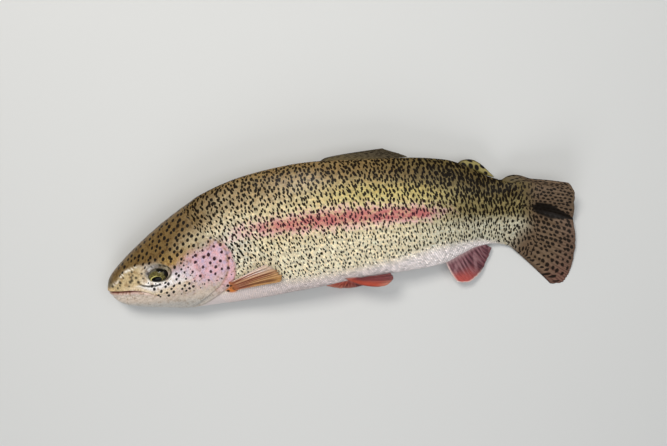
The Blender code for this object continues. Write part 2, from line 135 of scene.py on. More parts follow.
def smoothCurve(knots, at):
    x, y = np.array(knots, float).T
    step = np.diff(x)
    slope = np.diff(y) / step
    sameWay = slope[:-1] * slope[1:] > 0
    mean = np.where(sameWay, slope[:-1] + slope[1:], 1.0)
    middle = np.where(sameWay, 2 * slope[:-1] * slope[1:] / mean, 0.0)
    tangent = np.concatenate(([slope[0]], middle, [slope[-1]]))
    at = np.clip(np.asarray(at, float), x[0], x[-1])
    i = np.clip(np.searchsorted(x, at) - 1, 0, len(step) - 1)
    t = (at - x[i]) / step[i]
    rise = (2 * t**3 - 3 * t**2 + 1) * y[i] + (3 * t**2 - 2 * t**3) * y[i + 1]
    lean = (t**3 - 2 * t**2 + t) * tangent[i] + (t**3 - t**2) * tangent[i + 1]
    return rise + step[i] * lean


def ramp(low, high, at):
    t = np.clip((np.asarray(at, float) - low) / (high - low), 0, 1)
    return t * t * (3 - 2 * t)


def bump(at, width):
    return np.exp(-((np.asarray(at, float) / width) ** 2))


def walkSpine():
    stride = 0.5
    along = np.arange(0.0, body["heading"][-1][0] + stride, stride)
    heading = np.radians(smoothCurve(body["heading"], along))
    height = smoothCurve(body["lift"], along)
    flat = np.sqrt(1 - np.gradient(height, along) ** 2)
    x = body["nose"][0] + np.cumsum(np.cos(heading) * flat) * stride * mm
    y = body["nose"][1] + np.cumsum(np.sin(heading) * flat) * stride * mm
    return along, np.stack([x, y, height * mm], axis=1)


spineAlong, spinePoints = walkSpine()


def frameAt(s):
    s = np.asarray(s, float)

    def point(at):
        return np.stack([np.interp(at, spineAlong, spinePoints[:, k]) for k in range(3)], axis=-1)

    tail = point(s + 1) - point(s - 1)
    tail /= np.linalg.norm(tail, axis=-1, keepdims=True)
    level = np.stack([-tail[..., 1], tail[..., 0], np.zeros_like(s)], axis=-1)
    level /= np.linalg.norm(level, axis=-1, keepdims=True)
    side = np.cross(tail, level)
    roll = np.radians(smoothCurve(body["roll"], s))[..., None]
    back = level * np.cos(roll) + side * np.sin(roll)
    left = side * np.cos(roll) - level * np.sin(roll)
    return point(s), tail, back, left


def section(s, turn):
    # height above the spine and distance to the left, in mm; turn is 0 at the back, 90 at the left
    s, turn = np.broadcast_arrays(np.asarray(s, float), np.radians(np.asarray(turn, float)))
    c, q = np.cos(turn), np.sin(turn)
    power = body["squareness"]
    size = (np.abs(c) ** power + np.abs(q) ** power) ** (-1 / power)
    narrow = smoothCurve(body["throatVee"], s) * np.maximum(0, -c) ** 1.5
    narrow = narrow + smoothCurve(body["crown"], s) * np.maximum(0, c) ** 1.5
    high = smoothCurve(body["halfDepth"], s) * c * size
    wide = smoothCurve(body["halfWidth"], s) * q * size * (1 - narrow)
    return high, wide


def onBody(s, turn, out=0.0):
    s, turn = np.broadcast_arrays(np.asarray(s, float), np.asarray(turn, float))
    high, wide = section(s, turn)
    high2, wide2 = section(s, turn + 1.0)
    high1, wide1 = section(s, turn - 1.0)
    run = np.hypot(high2 - high1, wide2 - wide1) + 1e-9
    high = high + out * (wide2 - wide1) / run
    wide = wide - out * (high2 - high1) / run
    centre, _, back, left = frameAt(s)
    return centre + (back * high[..., None] + left * wide[..., None]) * mm


def girthTable():
    # arc from the back round one side, in mm, at every mm of spine and every degree
    s = np.arange(0.0, 409.0)
    turn = np.arange(0.0, 181.0)
    high, wide = section(s[:, None], turn[None, :])
    step = np.hypot(np.diff(high, axis=1), np.diff(wide, axis=1))
    return np.concatenate([np.zeros((len(s), 1)), np.cumsum(step, axis=1)], axis=1)


girths = girthTable()


def fromTable(table, row, column):
    # the value between a table's entries
    i = np.minimum(np.floor(row).astype(int), table.shape[0] - 2)
    j = np.minimum(np.floor(column).astype(int), table.shape[1] - 2)
    u, v = row - i, column - j
    near = table[i, j] * (1 - v) + table[i, j + 1] * v
    far = table[i + 1, j] * (1 - v) + table[i + 1, j + 1] * v
    return near * (1 - u) + far * u


def girthAt(s, turn):
    # signed arc from the middle of the back, in mm
    s, turn = np.broadcast_arrays(np.clip(s, 0, body["tableEnd"]), np.asarray(turn, float))
    return np.sign(turn) * fromTable(girths, s, np.abs(turn))


def turnTable():
    # the turn at each half percent of one side's arc, for every mm of spine
    share = np.linspace(0, 1, 201)
    return np.array([np.interp(share * row[-1], row, np.arange(181.0)) for row in girths])


turns = turnTable()


def turnFromGirth(s, girth):
    # the turn at a signed arc, and the arc's share of the way from back to belly
    s, girth = np.broadcast_arrays(np.clip(s, 0, body["tableEnd"]), np.asarray(girth, float))
    share = np.abs(girth) / (girthAt(s, 180.0) + 1e-9)
    return np.sign(girth) * fromTable(turns, s, np.clip(share, 0, 0.99999) * 200), share


# lines on the head: (distance along the spine, height above it), or (turn, distance)
head = {
    "mouth": [(0, 3.2), (7, 2.6), (26, -0.9), (35, -4.2), (41, -8.5), (46, -13.5)],
    "mouthEnd": 44.0,
    "maxillaTop": [(12, 6.6), (24, 5.8), (31, 4.8), (37, 3.0), (41, -0.1), (47, -1.8), (54, -3.4)],
    "snoutRidge": [(4, 8.6), (14, 11.4), (25, 17.4), (34, 19.6), (41, 19.9), (50, 18.8), (62, 16.0)],
    "eye": (58.4, 8.2),
    "orbit": (12.8, 9.0),
    "orbitLean": 0.08,
    # single dark spots round the eye and on the snout: along, up and size
    "spots": [(48.7, 10.6, 2.2), (62.6, 14.4, 1.6), (66.4, 12.6, 1.7), (54.5, 15.6, 1.2), (69.2, 9.3, 1.5),
              (19.0, 10.2, 2.0), (17.5, 7.6, 1.2), (29.0, 8.3, 2.0), (31.3, 9.4, 1.9), (32.0, 12.0, 1.5),
              (36.2, 10.6, 1.8), (36.5, 6.0, 1.8), (34.5, 16.6, 1.5), (9.5, 8.6, 1.7), (14.6, 5.9, 1.2),
              (24.0, 13.6, 1.3), (26.4, 4.8, 1.1), (43.2, 12.6, 1.5), (42.4, 8.0, 1.3)],
    "nostrils": [((30.5, 15.0), 1.15), ((33.6, 13.4), 1.35)],
    # distance of each edge at a turn from the back
    "plateEdge": [(58, 108), (66, 115), (73, 120.5), (86, 125), (100, 121), (114, 109.5),
                  (126, 93), (138, 80), (155, 69), (180, 61)],
    "webEdge": [(58, 109), (66, 117.5), (73, 123.5), (88, 129.5), (100, 129), (111, 125),
                (118, 119), (127, 106), (138, 91), (155, 77), (180, 66)],
    "preopercle": [(60, 104), (74, 101), (90, 92), (108, 85), (122, 78), (134, 66)],
    "cheekLine": [(62, 78), (76, 79), (90, 75), (104, 66), (112, 58)],
}


def mouthHeight(s):
    return smoothCurve(head["mouth"], s)


def edgeAt(name, turn):
    return smoothCurve(head[name], np.abs(turn))


def orbitDistance(s, high):
    # 1 on the rim of the eye's opening, and how sharp the rim is there: most below and behind
    x = s - head["eye"][0]
    y = high - head["eye"][1] + head["orbitLean"] * x
    far = np.hypot(x / head["orbit"][0], y / head["orbit"][1])
    return far, ramp(0.25, -0.35, (y / head["orbit"][1] - 0.7 * x / head["orbit"][0]) / (far + 1e-6))


# how far each feature of the head stands out of the plain form or sinks into it, mm
headLift = {
    "mouthSlit": -2.7, "upperLip": 0.55, "lowerLip": 0.6, "mouthCorner": -0.35,
    "jawBone": 0.6, "jawBoneGroove": -0.55,
    "sharpBowl": -3.0, "softBowl": -2.8, "orbitRim": 0.30, "orbitFolds": 0.10, "brow": 0.9, "beforeEye": -0.7,
    "nostril": -1.7, "nostrilLip": 0.45,
    "cheekLine": -0.45, "cheekPlate": 0.45, "cheekGroove": -0.5, "snoutRidge": 0.45,
    "gillPlate": 0.95, "gillWeb": 0.55, "plateGroove": -0.55, "webGroove": -0.75,
    "gillSeam": -0.32, "growthLines": 0.05,
    "throatRays": 0.33, "throatGroove": -1.0, "jawGroove": -0.5,
}


def headRelief(s, turn, high):
    lift = headLift
    a = np.abs(turn)
    flank = ramp(8, 30, a) * ramp(176, 150, a)
    out = np.zeros_like(s)
    # mouth: a slit between two lips
    off = high - mouthHeight(s)
    slit = ramp(head["mouthEnd"] + 3, head["mouthEnd"] - 12, s)
    out += lift["mouthSlit"] * bump(off, 0.75) * slit
    out += lift["upperLip"] * bump(off - 2.2, 1.3) * slit + lift["lowerLip"] * bump(off + 2.4, 1.5) * slit
    out += lift["mouthCorner"] * bump(off, 1.6) * ramp(60, 44, s) * (1 - slit)
    # upper jaw bone: a long plate over the lip, ending below the eye
    top = smoothCurve(head["maxillaTop"], s) - high
    plate = ramp(-0.5, 0.9, top) * ramp(-0.6, 0.8, off) * ramp(9, 16, s) * ramp(54.5, 51.0, s - 0.12 * top)
    out += lift["jawBone"] * plate * flank
    out += lift["jawBoneGroove"] * bump(top + 0.3, 0.8) * ramp(12, 20, s) * ramp(57, 50, s) * flank
    # eye: a bowl, its rim and the brow above
    far, rim = orbitDistance(s, high)
    sharp = lift["sharpBowl"] * ramp(1.02, 0.80, far) * rim
    out += (sharp + lift["softBowl"] * ramp(1.05, 0.52, far) * (1 - rim)) * flank
    out += lift["orbitRim"] * bump(far - 1.14, 0.12) * (0.25 + 0.75 * rim) * flank
    out += lift["orbitFolds"] * np.sin(far * 38) * ramp(1.1, 0.8, far) * (1 - rim) * flank
    out += lift["brow"] * bump(s - 60, 17) * bump(high - head["eye"][1] - 12.5, 4.5) * flank
    out += lift["beforeEye"] * bump(s - 45, 7) * bump(high - 6.0, 4.0) * flank
    # nostrils: two pits with a lip between them
    for (sAt, hAt), size in head["nostrils"]:
        reach = np.hypot(s - sAt, high - hAt)
        out += lift["nostril"] * bump(reach, size * 0.75) * flank
        out += lift["nostrilLip"] * bump(reach - size * 1.5, 0.6) * flank
    # cheek line and front edge of the gill cover
    out += lift["cheekLine"] * bump(s - edgeAt("cheekLine", turn), 1.0) * ramp(60, 70, a) * ramp(114, 104, a)
    before = s - edgeAt("preopercle", turn)
    step = lift["cheekPlate"] * ramp(-9, -0.4, before) * ramp(0.8, -0.2, before)
    out += (step + lift["cheekGroove"] * bump(before - 0.5, 0.9)) * (ramp(58, 70, a) * ramp(138, 122, a))
    ridge = bump(high - smoothCurve(head["snoutRidge"], s), 1.8)
    out += lift["snoutRidge"] * ridge * ramp(8, 16, s) * ramp(54, 44, s) * ramp(90, 80, a)
    # gill cover: a plate whose rear edge stands over a soft web
    plateEnd = s - edgeAt("plateEdge", turn)
    webEnd = s - edgeAt("webEdge", turn)
    band = ramp(57, 78, a) * (1 - 0.9 * ramp(146, 170, a))
    out += lift["gillPlate"] * ramp(-26, -2, plateEnd) * ramp(0.55, -0.45, plateEnd) * band
    out += lift["gillWeb"] * ramp(-0.5, 1.5, plateEnd) * ramp(0.5, -0.4, webEnd) * band
    out += lift["plateGroove"] * bump(plateEnd - 1.2, 0.8) * band
    out += lift["webGroove"] * bump(webEnd - 0.9, 1.0) * band
    # joint between the gill cover's two bones, and faint growth lines
    inside = ramp(0, 3, before) * ramp(-0.5, -3, plateEnd) * ramp(66, 72, a)
    out += lift["gillSeam"] * bump(high + 8.5 - 0.34 * (s - 92), 0.7) * inside
    out += lift["growthLines"] * np.sin(plateEnd * 1.9) * inside
    # folded rays below the gill cover, and the throat between the jaws
    fold = ramp(120, 130, a) * ramp(0.5, -2.5, webEnd) * ramp(50, 64, s)
    out += lift["throatRays"] * np.sin(webEnd * 1.15) * fold
    out += lift["throatGroove"] * bump(180 - a, 5.0) * ramp(10, 20, s) * ramp(68, 58, s)
    out += lift["jawGroove"] * bump(a - 152 + 0.12 * s, 4.0) * ramp(12, 24, s) * ramp(66, 56, s)
    return out


def bareEdge(turn):
    # where bare skin ends and scales begin: the nape above, the gill cover's web below
    a = np.abs(turn)
    return np.where(a < 58, 101 + 8 * (a / 58) ** 2, edgeAt("webEdge", a))


def sRGB(red, green, blue):
    part = np.array([red, green, blue], float) / 255
    return np.where(part <= 0.04045, part / 12.92, ((part + 0.055) / 1.055) ** 2.4)


colours = {
    "back": sRGB(142, 117, 76),
    "shoulder": sRGB(198, 179, 142),
    "flank": sRGB(216, 200, 158),
    "lowFlank": sRGB(223, 211, 180),
    "belly": sRGB(214, 200, 197),
    "gold": sRGB(194, 176, 98),
    "nape": sRGB(114, 91, 55),
    "rearBack": sRGB(97, 83, 50),
    "rearFlank": sRGB(130, 117, 78),
    "rearLow": sRGB(190, 184, 160),
    "rearBelly": sRGB(236, 226, 224),
    "stalkLow": sRGB(168, 158, 136),
    "nose": sRGB(98, 91, 68),
    "cheekLow": sRGB(196, 178, 160),
    "cheekHigh": sRGB(184, 164, 184),
    "paintedHighlight": sRGB(255, 250, 244),
    "behindGill": sRGB(212, 204, 186),
    "crown": sRGB(112, 88, 50),
    "brow": sRGB(160, 130, 76),
    "glint": sRGB(244, 236, 222),
    "snout": sRGB(192, 170, 130),
    "lipGold": sRGB(206, 176, 128),
    "maxilla": sRGB(218, 198, 168),
    "cheek": sRGB(220, 212, 209),
    "gill": sRGB(208, 169, 180),
    "gillTop": sRGB(176, 170, 150),
    "web": sRGB(218, 166, 176),
    "webRim": sRGB(176, 136, 96),
    "jaw": sRGB(212, 196, 181),
    "throat": sRGB(186, 180, 172),
    "streak": sRGB(158, 132, 108),
    "lip": sRGB(204, 164, 156),
    "mouth": sRGB(116, 32, 26),
    "orbit": sRGB(140, 132, 106),
    "orbitTop": sRGB(146, 138, 138),
    "ink": sRGB(20, 16, 13),
    "finBase": sRGB(206, 120, 52),
}


def blend(base, colour, weight):
    return base * (1 - weight[..., None]) + colour * weight[..., None]


def layered(tone, *layers):
    # colours laid over one another in turn: each by its name or as itself, with its share
    for colour, share in layers:
        tone = blend(tone, colours[colour] if isinstance(colour, str) else colour, share)
    return tone


def groundColour(s, turn):
    s, turn = np.broadcast_arrays(np.asarray(s, float), np.asarray(turn, float))
    a = np.abs(turn)
    high, _ = section(s, turn)
    rise = np.cos(np.radians(a))
    rear = ramp(262, 350, s)
    plain = np.zeros(s.shape + (3,))
    backTone = layered(plain + colours["back"], ("rearBack", ramp(215, 335, s)), ("nape", ramp(165, 120, s)))
    lowTone = layered(plain + colours["lowFlank"], ("rearLow", rear))
    white = layered(plain + colours["belly"], ("rearBelly", ramp(230, 300, s)))
    gold = ramp(175, 260, s) * ramp(350, 300, s) * bump(rise - 0.50, 0.27)
    tone = layered(
        plain + colours["flank"],
        ("rearFlank", rear),
        (lowTone, ramp(0.12, -0.30, rise)),
        ("shoulder", ramp(0.30, 0.62, rise) * (1 - rear)),
        ("gold", 0.75 * gold),
        ("behindGill", ramp(175, 130, s) * bump(rise - 0.12, 0.32)),
        (backTone, ramp(0.48, 0.86, rise + 0.12 * ramp(140, 105, s) + 0.16 * ramp(250, 330, s))),
        # painted highlight: a paler patch on the shoulder where the wet back catches the light
        ("shoulder", 0.5 * (bump(s - 138, 22) * bump(rise - 0.80, 0.13))),
        (white, ramp(0.14, -0.12, rise - smoothCurve(body["whiteTop"], s))),
        ("stalkLow", 0.6 * ramp(372, 398, s) * ramp(-0.1, -0.7, rise)),
        ("finBase", ramp(1.15, 0.75, lobeDistance(s, a))),
    )
    return headColour(tone, s, a, high)


def lobeDistance(s, a):
    # 1 on the edge of the fleshy base of the pectoral fin
    along, turn, halfAlong, halfTurn = body["finBase"]
    return np.hypot((s - along) / halfAlong, (a - turn) / halfTurn)


stripe = {
    "strength": [(118, 0.0), (136, 0.5), (180, 0.9), (225, 1.0), (300, 1.0), (322, 0.5), (350, 0.0),
                 (396, 0.0)],
    # cosine of the turn from the back at the stripe's middle, and half its width
    "middle": [(118, 0.27), (144, 0.255), (196, 0.165), (240, 0.15), (310, 0.10), (396, 0.05)],
    "half": [(118, 0.12), (200, 0.185), (240, 0.20), (300, 0.165), (396, 0.12)],
}


def stripeShare(s, turn):
    # the pink stripe, strongest in the middle of the trunk
    rise = np.cos(np.radians(np.abs(turn)))
    strength, middle, half = (smoothCurve(stripe[key], s) for key in ("strength", "middle", "half"))
    return strength * bump(rise - middle, half)


def gillShare(s, a):
    # 1 over the gill cover
    return ramp(74, 99, s) * ramp(66, 80, a) * ramp(120, 100, a) * ramp(3, 0, s - edgeAt("webEdge", a))


def headColour(tone, s, a, high):
    plateEnd = s - edgeAt("plateEdge", a)
    webEnd = s - edgeAt("webEdge", a)
    off = high - mouthHeight(s)
    above = high - smoothCurve(head["snoutRidge"], s)
    behind = ramp(48, 66, s)
    crown = ramp(-3.5, 3.0, above) * (1 - behind) + ramp(74, 54, a) * behind
    glint = (0.42 + 0.45 * np.sin(s * 0.9 + 2.4 * np.sin(s * 0.53) + high)) * bump(above + 0.8, 1.3)
    skin = layered(
        np.zeros(tone.shape) + colours["cheek"],
        ("cheekHigh", bump(s - 76, 13) * bump(a - 78, 10)),
        ("cheekLow", ramp(96, 112, a)),
        ("snout", ramp(58, 38, s) * ramp(98, 84, a)),
        ("brow", ramp(88, 74, a) * ramp(50, 68, s)),
        ("crown", crown * ramp(90, 70, a)),
        ("nose", 0.9 * ramp(15, 4, s) * ramp(2.5, 5.5, off)),
        ("glint", np.clip(glint, 0, 0.9) * ramp(7, 13, s) * ramp(47, 38, s)),
        (tone, ramp(70, 104, s) * ramp(72, 56, a)),
        ("maxilla", ramp(100, 84, s) * bump(off - 2.5, 3.5) * ramp(16, 34, s)),
        ("lipGold", ramp(18, 5, s) * bump(off - 2.2, 3.0)),
    )
    web = ramp(-0.3, 1.0, plateEnd) * ramp(0.8, -0.6, webEnd) * ramp(72, 86, a) * ramp(140, 124, a)
    rimWeb = web * (bump(plateEnd - 1.4, 1.3) + 0.4 * bump(webEnd + 0.6, 1.2))
    under = ramp(1.0, -2.5, off) * ramp(56, 44, s) + ramp(112, 130, a) * ramp(40, 56, s)
    under = np.clip(under, 0, 1) * ramp(4, -6, webEnd)
    streak = np.clip(np.sin(high * 2.3 + 0.9 * np.sin(s * 0.33)) * np.sin(s * 0.23 + high * 0.7), 0, 1)
    crease = smoothCurve(head["maxillaTop"], s) - high + 0.25 * np.sin(s * 1.1)
    far, rim = orbitDistance(s, high)
    side = ramp(20, 30, a) * ramp(140, 120, a)
    blot = np.clip(np.sin(s * 1.9 + 2.0 * np.sin(high * 1.3)) * np.sin(high * 2.1 + s * 0.6), 0, 1)
    tone = layered(
        tone,
        (skin, ramp(5, -5, s - bareEdge(a))),
        # lilac on the gill cover, pink on its web
        ("gill", 0.95 * gillShare(s, a) * ramp(2, -1, plateEnd)),
        ("gillTop", 0.7 * bump(s - 108, 9) * bump(a - 70, 5)),
        ("web", 0.85 * web),
        ("webRim", np.clip(0.9 * rimWeb, 0, 1)),
        # below the mouth
        ("jaw", under * 0.85),
        ("throat", ramp(118, 140, a) * ramp(2, -10, webEnd)),
        ("lip", 0.5 * bump(off + 1.6, 1.7) * ramp(54, 30, s)),
        ("streak", 0.45 * streak * under * ramp(135, 120, a)),
        # the slit: painted shade in the gap between the lips, dark red in front, only a soft line behind
        ("mouth", np.clip(1.3 * bump(off, 1.0), 0, 1) * ramp(37, 25, s) * ramp(1, 5, s)),
        ("mouth", 0.35 * bump(off, 0.8) * ramp(20, 26, s) * ramp(50, 42, s)),
        # the crease below the eye: painted shade in it and painted highlights on both sides
        ("paintedHighlight", bump(crease + 2.8, 3.8) * ramp(36, 46, s) * ramp(78, 62, s)),
        ("paintedHighlight", 0.7 * bump(crease - 1.5, 0.8) * ramp(30, 38, s) * ramp(58, 50, s)),
        ("ink", np.clip(1.15 * bump(crease + 0.2, 0.9), 0, 0.92) * ramp(33, 39, s) * ramp(58, 53, s)),
        # the opening round the eye
        ("orbit", 0.9 * ramp(1.10, 0.94, far) * side),
        ("orbitTop", 0.75 * ramp(1.08, 0.9, far) * ramp(5, 10, high) * ramp(68, 57, s) * side),
        ("crown", 0.6 * blot * ramp(1.16, 1.0, far) * ramp(4, 9, high) * side),
        # painted shadow in the seam below and behind, where the ball sinks into its socket
        ("ink", 0.8 * bump(far - 0.92, 0.08) * rim * side),
        # painted highlight on the upper front edge of the opening
        ("paintedHighlight", 0.5 * bump(far - 0.80, 0.08) * ramp(9, 12, high) * ramp(60, 52, s) * side),
    )
    for sAt, hAt, size in head["spots"]:
        reach = np.hypot(s - sAt, high - hAt)
        tone = layered(tone, ("ink", 0.85 * ramp(size, 0.5 * size, reach) * side))
    # painted shade in the nostril pits
    for (sAt, hAt), size in head["nostrils"]:
        reach = np.hypot(s - sAt, high - hAt)
        tone = layered(tone, ("ink", 0.9 * bump(reach, size * 0.7) * side))
    # painted shade in the grooves behind the edges of the gill plate and its web
    shade = bump(plateEnd - 1.3, 0.7) + bump(webEnd - 1.0, 0.7)
    return tone * (1 - 0.4 * np.clip(shade, 0, 1) * ramp(60, 70, a) * ramp(180, 150, a))[..., None]


def markSizes(s, turn):
    # 0 for no marks, about 1 for the full size: on the body, the head and the gill cover
    a = np.abs(turn)
    rise = np.cos(np.radians(a))
    high, _ = section(s, turn)
    trunk = ramp(-0.05, 0.09, rise - smoothCurve(body["whiteTop"], s))
    trunk = trunk * (0.86 + 0.22 * ramp(-0.35, 0.35, rise) + 0.17 * ramp(0.45, 0.85, rise))
    trunk = trunk * (1 + 0.20 * ramp(200, 340, s) * ramp(0.0, 0.5, rise) + 0.24 * ramp(300, 372, s))
    front = ramp(190, 125, s)
    trunk = trunk * (1 + front * (0.16 * bump(rise + 0.10, 0.22) - 0.12 * bump(rise - 0.48, 0.22)))
    bare = ramp(3, -3, s - bareEdge(a))
    far, _ = orbitDistance(s, high)
    free = ramp(1.04, 1.16, far) * bare
    aboveMouth = ramp(0.5, 4.0, high - mouthHeight(s) + 9 * ramp(40, 56, s))
    gill = gillShare(s, a)
    dots = free * (1 - gill) * ramp(126, 114, a) * aboveMouth * ramp(12, 24, s)
    dots = dots * (1.0 + 0.10 * ramp(60, 100, s))
    dots = dots * (1 - ramp(48, 42, s) * ramp(1.0, -1.0, high - smoothCurve(head["snoutRidge"], s)))
    dots = np.maximum(dots, ramp(1.1, 0.8, lobeDistance(s, a)) * 1.1)
    return trunk * (1 - bare), dots, free * gill


def storeFloat(mesh, name, values):
    layer = mesh.attributes.new(name, "FLOAT", "POINT")
    layer.data.foreach_set("value", np.asarray(values, np.float32).ravel())


def storeColour(mesh, name, values):
    layer = mesh.attributes.new(name, "FLOAT_COLOR", "POINT")
    rgba = np.ones((len(mesh.vertices), 4), np.float32)
    rgba[:, :3] = np.asarray(values).reshape(-1, 3)
    layer.data.foreach_set("color", rgba.ravel())


def storeMap(mesh, name, pairs):
    # a UV map from one pair of numbers for each vertex
    layer = mesh.uv_layers.get(name) or mesh.uv_layers.new(name=name)
    corner = np.empty(len(mesh.loops), np.int32)
    mesh.loops.foreach_get("vertex_index", corner)
    layer.uv.foreach_set("vector", np.asarray(pairs, np.float32).reshape(-1, 2)[corner].ravel())


def storeLooks(mesh, s, turn, ground):
    # what the markings read: the ground colour, the sizes of the marks, the stripe, the pearly share
    storeColour(mesh, "ground", ground)
    trunk, dots, gill = markSizes(s, turn)
    a = np.abs(turn)
    storeFloat(mesh, "trunkMarks", trunk)
    storeFloat(mesh, "headMarks", dots)
    storeFloat(mesh, "gillMarks", gill)
    storeFloat(mesh, "stripe", stripeShare(s, turn))
    storeFloat(mesh, "mottle", 0.36 + 0.55 * ramp(3, -3, s - bareEdge(a)) - 0.35 * ramp(100, 125, a))
    storeFloat(mesh, "pearl", gillShare(s, a) + 0.35 * ramp(3, -3, s - bareEdge(a)) * ramp(66, 82, a)
               * ramp(50, 75, s) * ramp(126, 116, a) * (1 - gillShare(s, a)))


def newPiece(name, primitive, **settings):
    # a primitive without its own UV map
    bpy.ops.object.select_all(action="DESELECT")
    primitive(**settings)
    piece = bpy.context.object
    piece.name = name
    while piece.data.uv_layers:
        piece.data.uv_layers.remove(piece.data.uv_layers[0])
    return piece


def layPoints(mesh, points):
    mesh.vertices.foreach_set("co", np.asarray(points, np.float32).ravel())


def gridPiece(name, points):
    # a grid primitive whose points are laid on the given rows and columns
    rows, columns = points.shape[:2]
    piece = newPiece(name, bpy.ops.mesh.primitive_grid_add, x_subdivisions=columns - 1,
                     y_subdivisions=rows - 1, size=1)
    piece.data.name = name
    layPoints(piece.data, points)
    return piece


def inEditMode(piece, work):
    bpy.ops.object.select_all(action="DESELECT")
    bpy.context.view_layer.objects.active = piece
    piece.select_set(True)
    bpy.ops.object.mode_set(mode="EDIT")
    bpy.ops.mesh.select_all(action="SELECT")
    work()
    bpy.ops.object.mode_set(mode="OBJECT")


def turnOut():
    bpy.ops.mesh.normals_make_consistent(inside=False)


def aboveFloor(points):
    points[..., 2] = np.maximum(points[..., 2], 0.0)
    return points


def surfaceNormals(grid):
    rowWay = np.gradient(grid, axis=0)
    columnWay = np.gradient(grid, axis=1)
    normal = np.cross(columnWay, rowWay)
    return normal / (np.linalg.norm(normal, axis=-1, keepdims=True) + 1e-12)


skinPlan = {
    "headRings": 200, "trunkRings": 132, "columns": 240,
    "headEnd": 134.0, "end": 401.0,
    "vent": {"along": 326.0, "width": 3.2, "rim": 0.9, "pit": -1.8},
    "jawSetBack": 1.8,  # how far the lower jaw ends behind the upper, mm
}


def makeSkin():
    nose = np.array([0.0, 0.25, 0.6, 1.1, 1.8, 2.6])
    front = np.linspace(3.4, skinPlan["headEnd"], skinPlan["headRings"] - len(nose))
    rear = np.linspace(skinPlan["headEnd"], skinPlan["end"], skinPlan["trunkRings"])[1:]
    s = np.concatenate([nose, front, rear])[:, None]
    # columns crowd a little on the flanks, where the eye, mouth and gill cover are
    u = np.linspace(-1, 1, skinPlan["columns"] + 1)[None, :]
    turn = 180 * u + 11.0 * np.sin(2 * np.pi * u)
    s, turn = np.broadcast_arrays(s, turn)
    high, _ = section(s, turn)
    bare = ramp(3, -2, s - bareEdge(turn))
    tucked = 0.25 + 0.25 * ramp(16, 5, s) + 0.55 * ramp(60, 35, s) * ramp(135, 160, np.abs(turn))
    plain = onBody(s, turn, -body["coat"] * (1 - bare) - tucked * bare)
    normal = surfaceNormals(plain)
    relief = headRelief(s, turn, high) * ramp(0.0, 3.0, s)
    vent = skinPlan["vent"]
    ring = bump(np.hypot(s - vent["along"], (180 - np.abs(turn)) * 0.7), vent["width"])
    relief = relief + vent["rim"] * ring + vent["pit"] * ring**6
    points = plain + normal * relief[..., None] * mm
    _, tailWay, _, _ = frameAt(s)
    setBack = ramp(2.0, -5.0, high - mouthHeight(s)) * ramp(22, 0, s)
    points = aboveFloor(points + tailWay * (skinPlan["jawSetBack"] * setBack)[..., None] * mm)
    skin = gridPiece("skin", points)
    mesh = skin.data
    storeLooks(mesh, s, turn, groundColour(s, turn))
    storeMap(mesh, "OFBake", skinMap(s, turn))
    storeMap(mesh, "fishMap", np.stack([s * mm, girthAt(s, turn) * mm], axis=-1))

    def closeUp():
        bpy.ops.mesh.remove_doubles(threshold=0.000002)
        bpy.ops.mesh.select_all(action="DESELECT")
        bpy.ops.mesh.select_non_manifold(extend=False)
        bpy.ops.mesh.edge_face_add()
        bpy.ops.mesh.select_all(action="SELECT")
        turnOut()

    inEditMode(skin, closeUp)
    bpy.ops.object.shade_smooth()
    return skin


def skinMap(s, turn):
    # the skin slit along the belly and laid flat in the unit square
    return np.stack([0.01 + 0.98 * s / 408.0, 0.5 + 0.49 * turn / 180 + 0 * s], axis=-1)


def newMaterial(name):
    material = bpy.data.materials.new(name)
    material.use_nodes = True
    return material, material.node_tree


def setOrLink(tree, socket, value):
    if isinstance(value, bpy.types.NodeSocket):
        tree.links.new(value, socket)
    else:
        socket.default_value = value


def node(tree, kind, inputs=None, **settings):
    made = tree.nodes.new(kind)
    for key, value in settings.items():
        setattr(made, key, value)
    for key, value in (inputs or {}).items():
        setOrLink(tree, made.inputs[key], value)
    return made


def sums(tree, operation, *values):
    return node(tree, "ShaderNodeMath", dict(enumerate(values)), operation=operation).outputs[0]


def vectorSum(tree, operation, first, second):
    return node(tree, "ShaderNodeVectorMath", {0: first, 1: second}, operation=operation).outputs[0]


def product(tree, first, second):
    return sums(tree, "MULTIPLY", first, second)


def parts(tree, vector):
    return node(tree, "ShaderNodeSeparateXYZ", {0: vector}).outputs


def joined(tree, x, y):
    return node(tree, "ShaderNodeCombineXYZ", {0: x, 1: y}).outputs[0]


def uvMap(tree, name):
    return node(tree, "ShaderNodeUVMap", uv_map=name).outputs[0]


def noise(tree, place, scale, detail, roughness=0.5, flat=True):
    inputs = {"Vector": place, "Scale": scale, "Detail": detail, "Roughness": roughness}
    return node(tree, "ShaderNodeTexNoise", inputs, noise_dimensions="2D" if flat else "3D").outputs


def ovalReach(tree, x, y):
    return sums(tree, "SQRT", sums(tree, "ADD", product(tree, x, x), product(tree, y, y)))


def rampNode(tree, value, low, high):
    made = node(tree, "ShaderNodeMapRange", {"Value": value, "From Min": low, "From Max": high},
                interpolation_type="SMOOTHSTEP")
    return made.outputs["Result"]


def mixColour(tree, factor, first, second, blendType="MIX"):
    made = node(tree, "ShaderNodeMix", {0: factor, 6: first, 7: second}, data_type="RGBA",
                blend_type=blendType)
    return made.outputs[2]


def attribute(tree, name, output="Fac"):
    return node(tree, "ShaderNodeAttribute", attribute_name=name).outputs[output]


def finishMaterial(material, colour, relief, values):
    # relief: a height, its strength and its depth in metres; values go to the shader's other inputs
    tree = material.node_tree
    height, strength, depth = relief
    bumped = node(tree, "ShaderNodeBump", {"Height": height, "Strength": strength, "Distance": depth})
    shader = tree.nodes["Principled BSDF"]
    for key, value in {"Base Color": colour, "Normal": bumped.outputs[0], **values}.items():
        setOrLink(tree, shader.inputs[key], value)
    return material


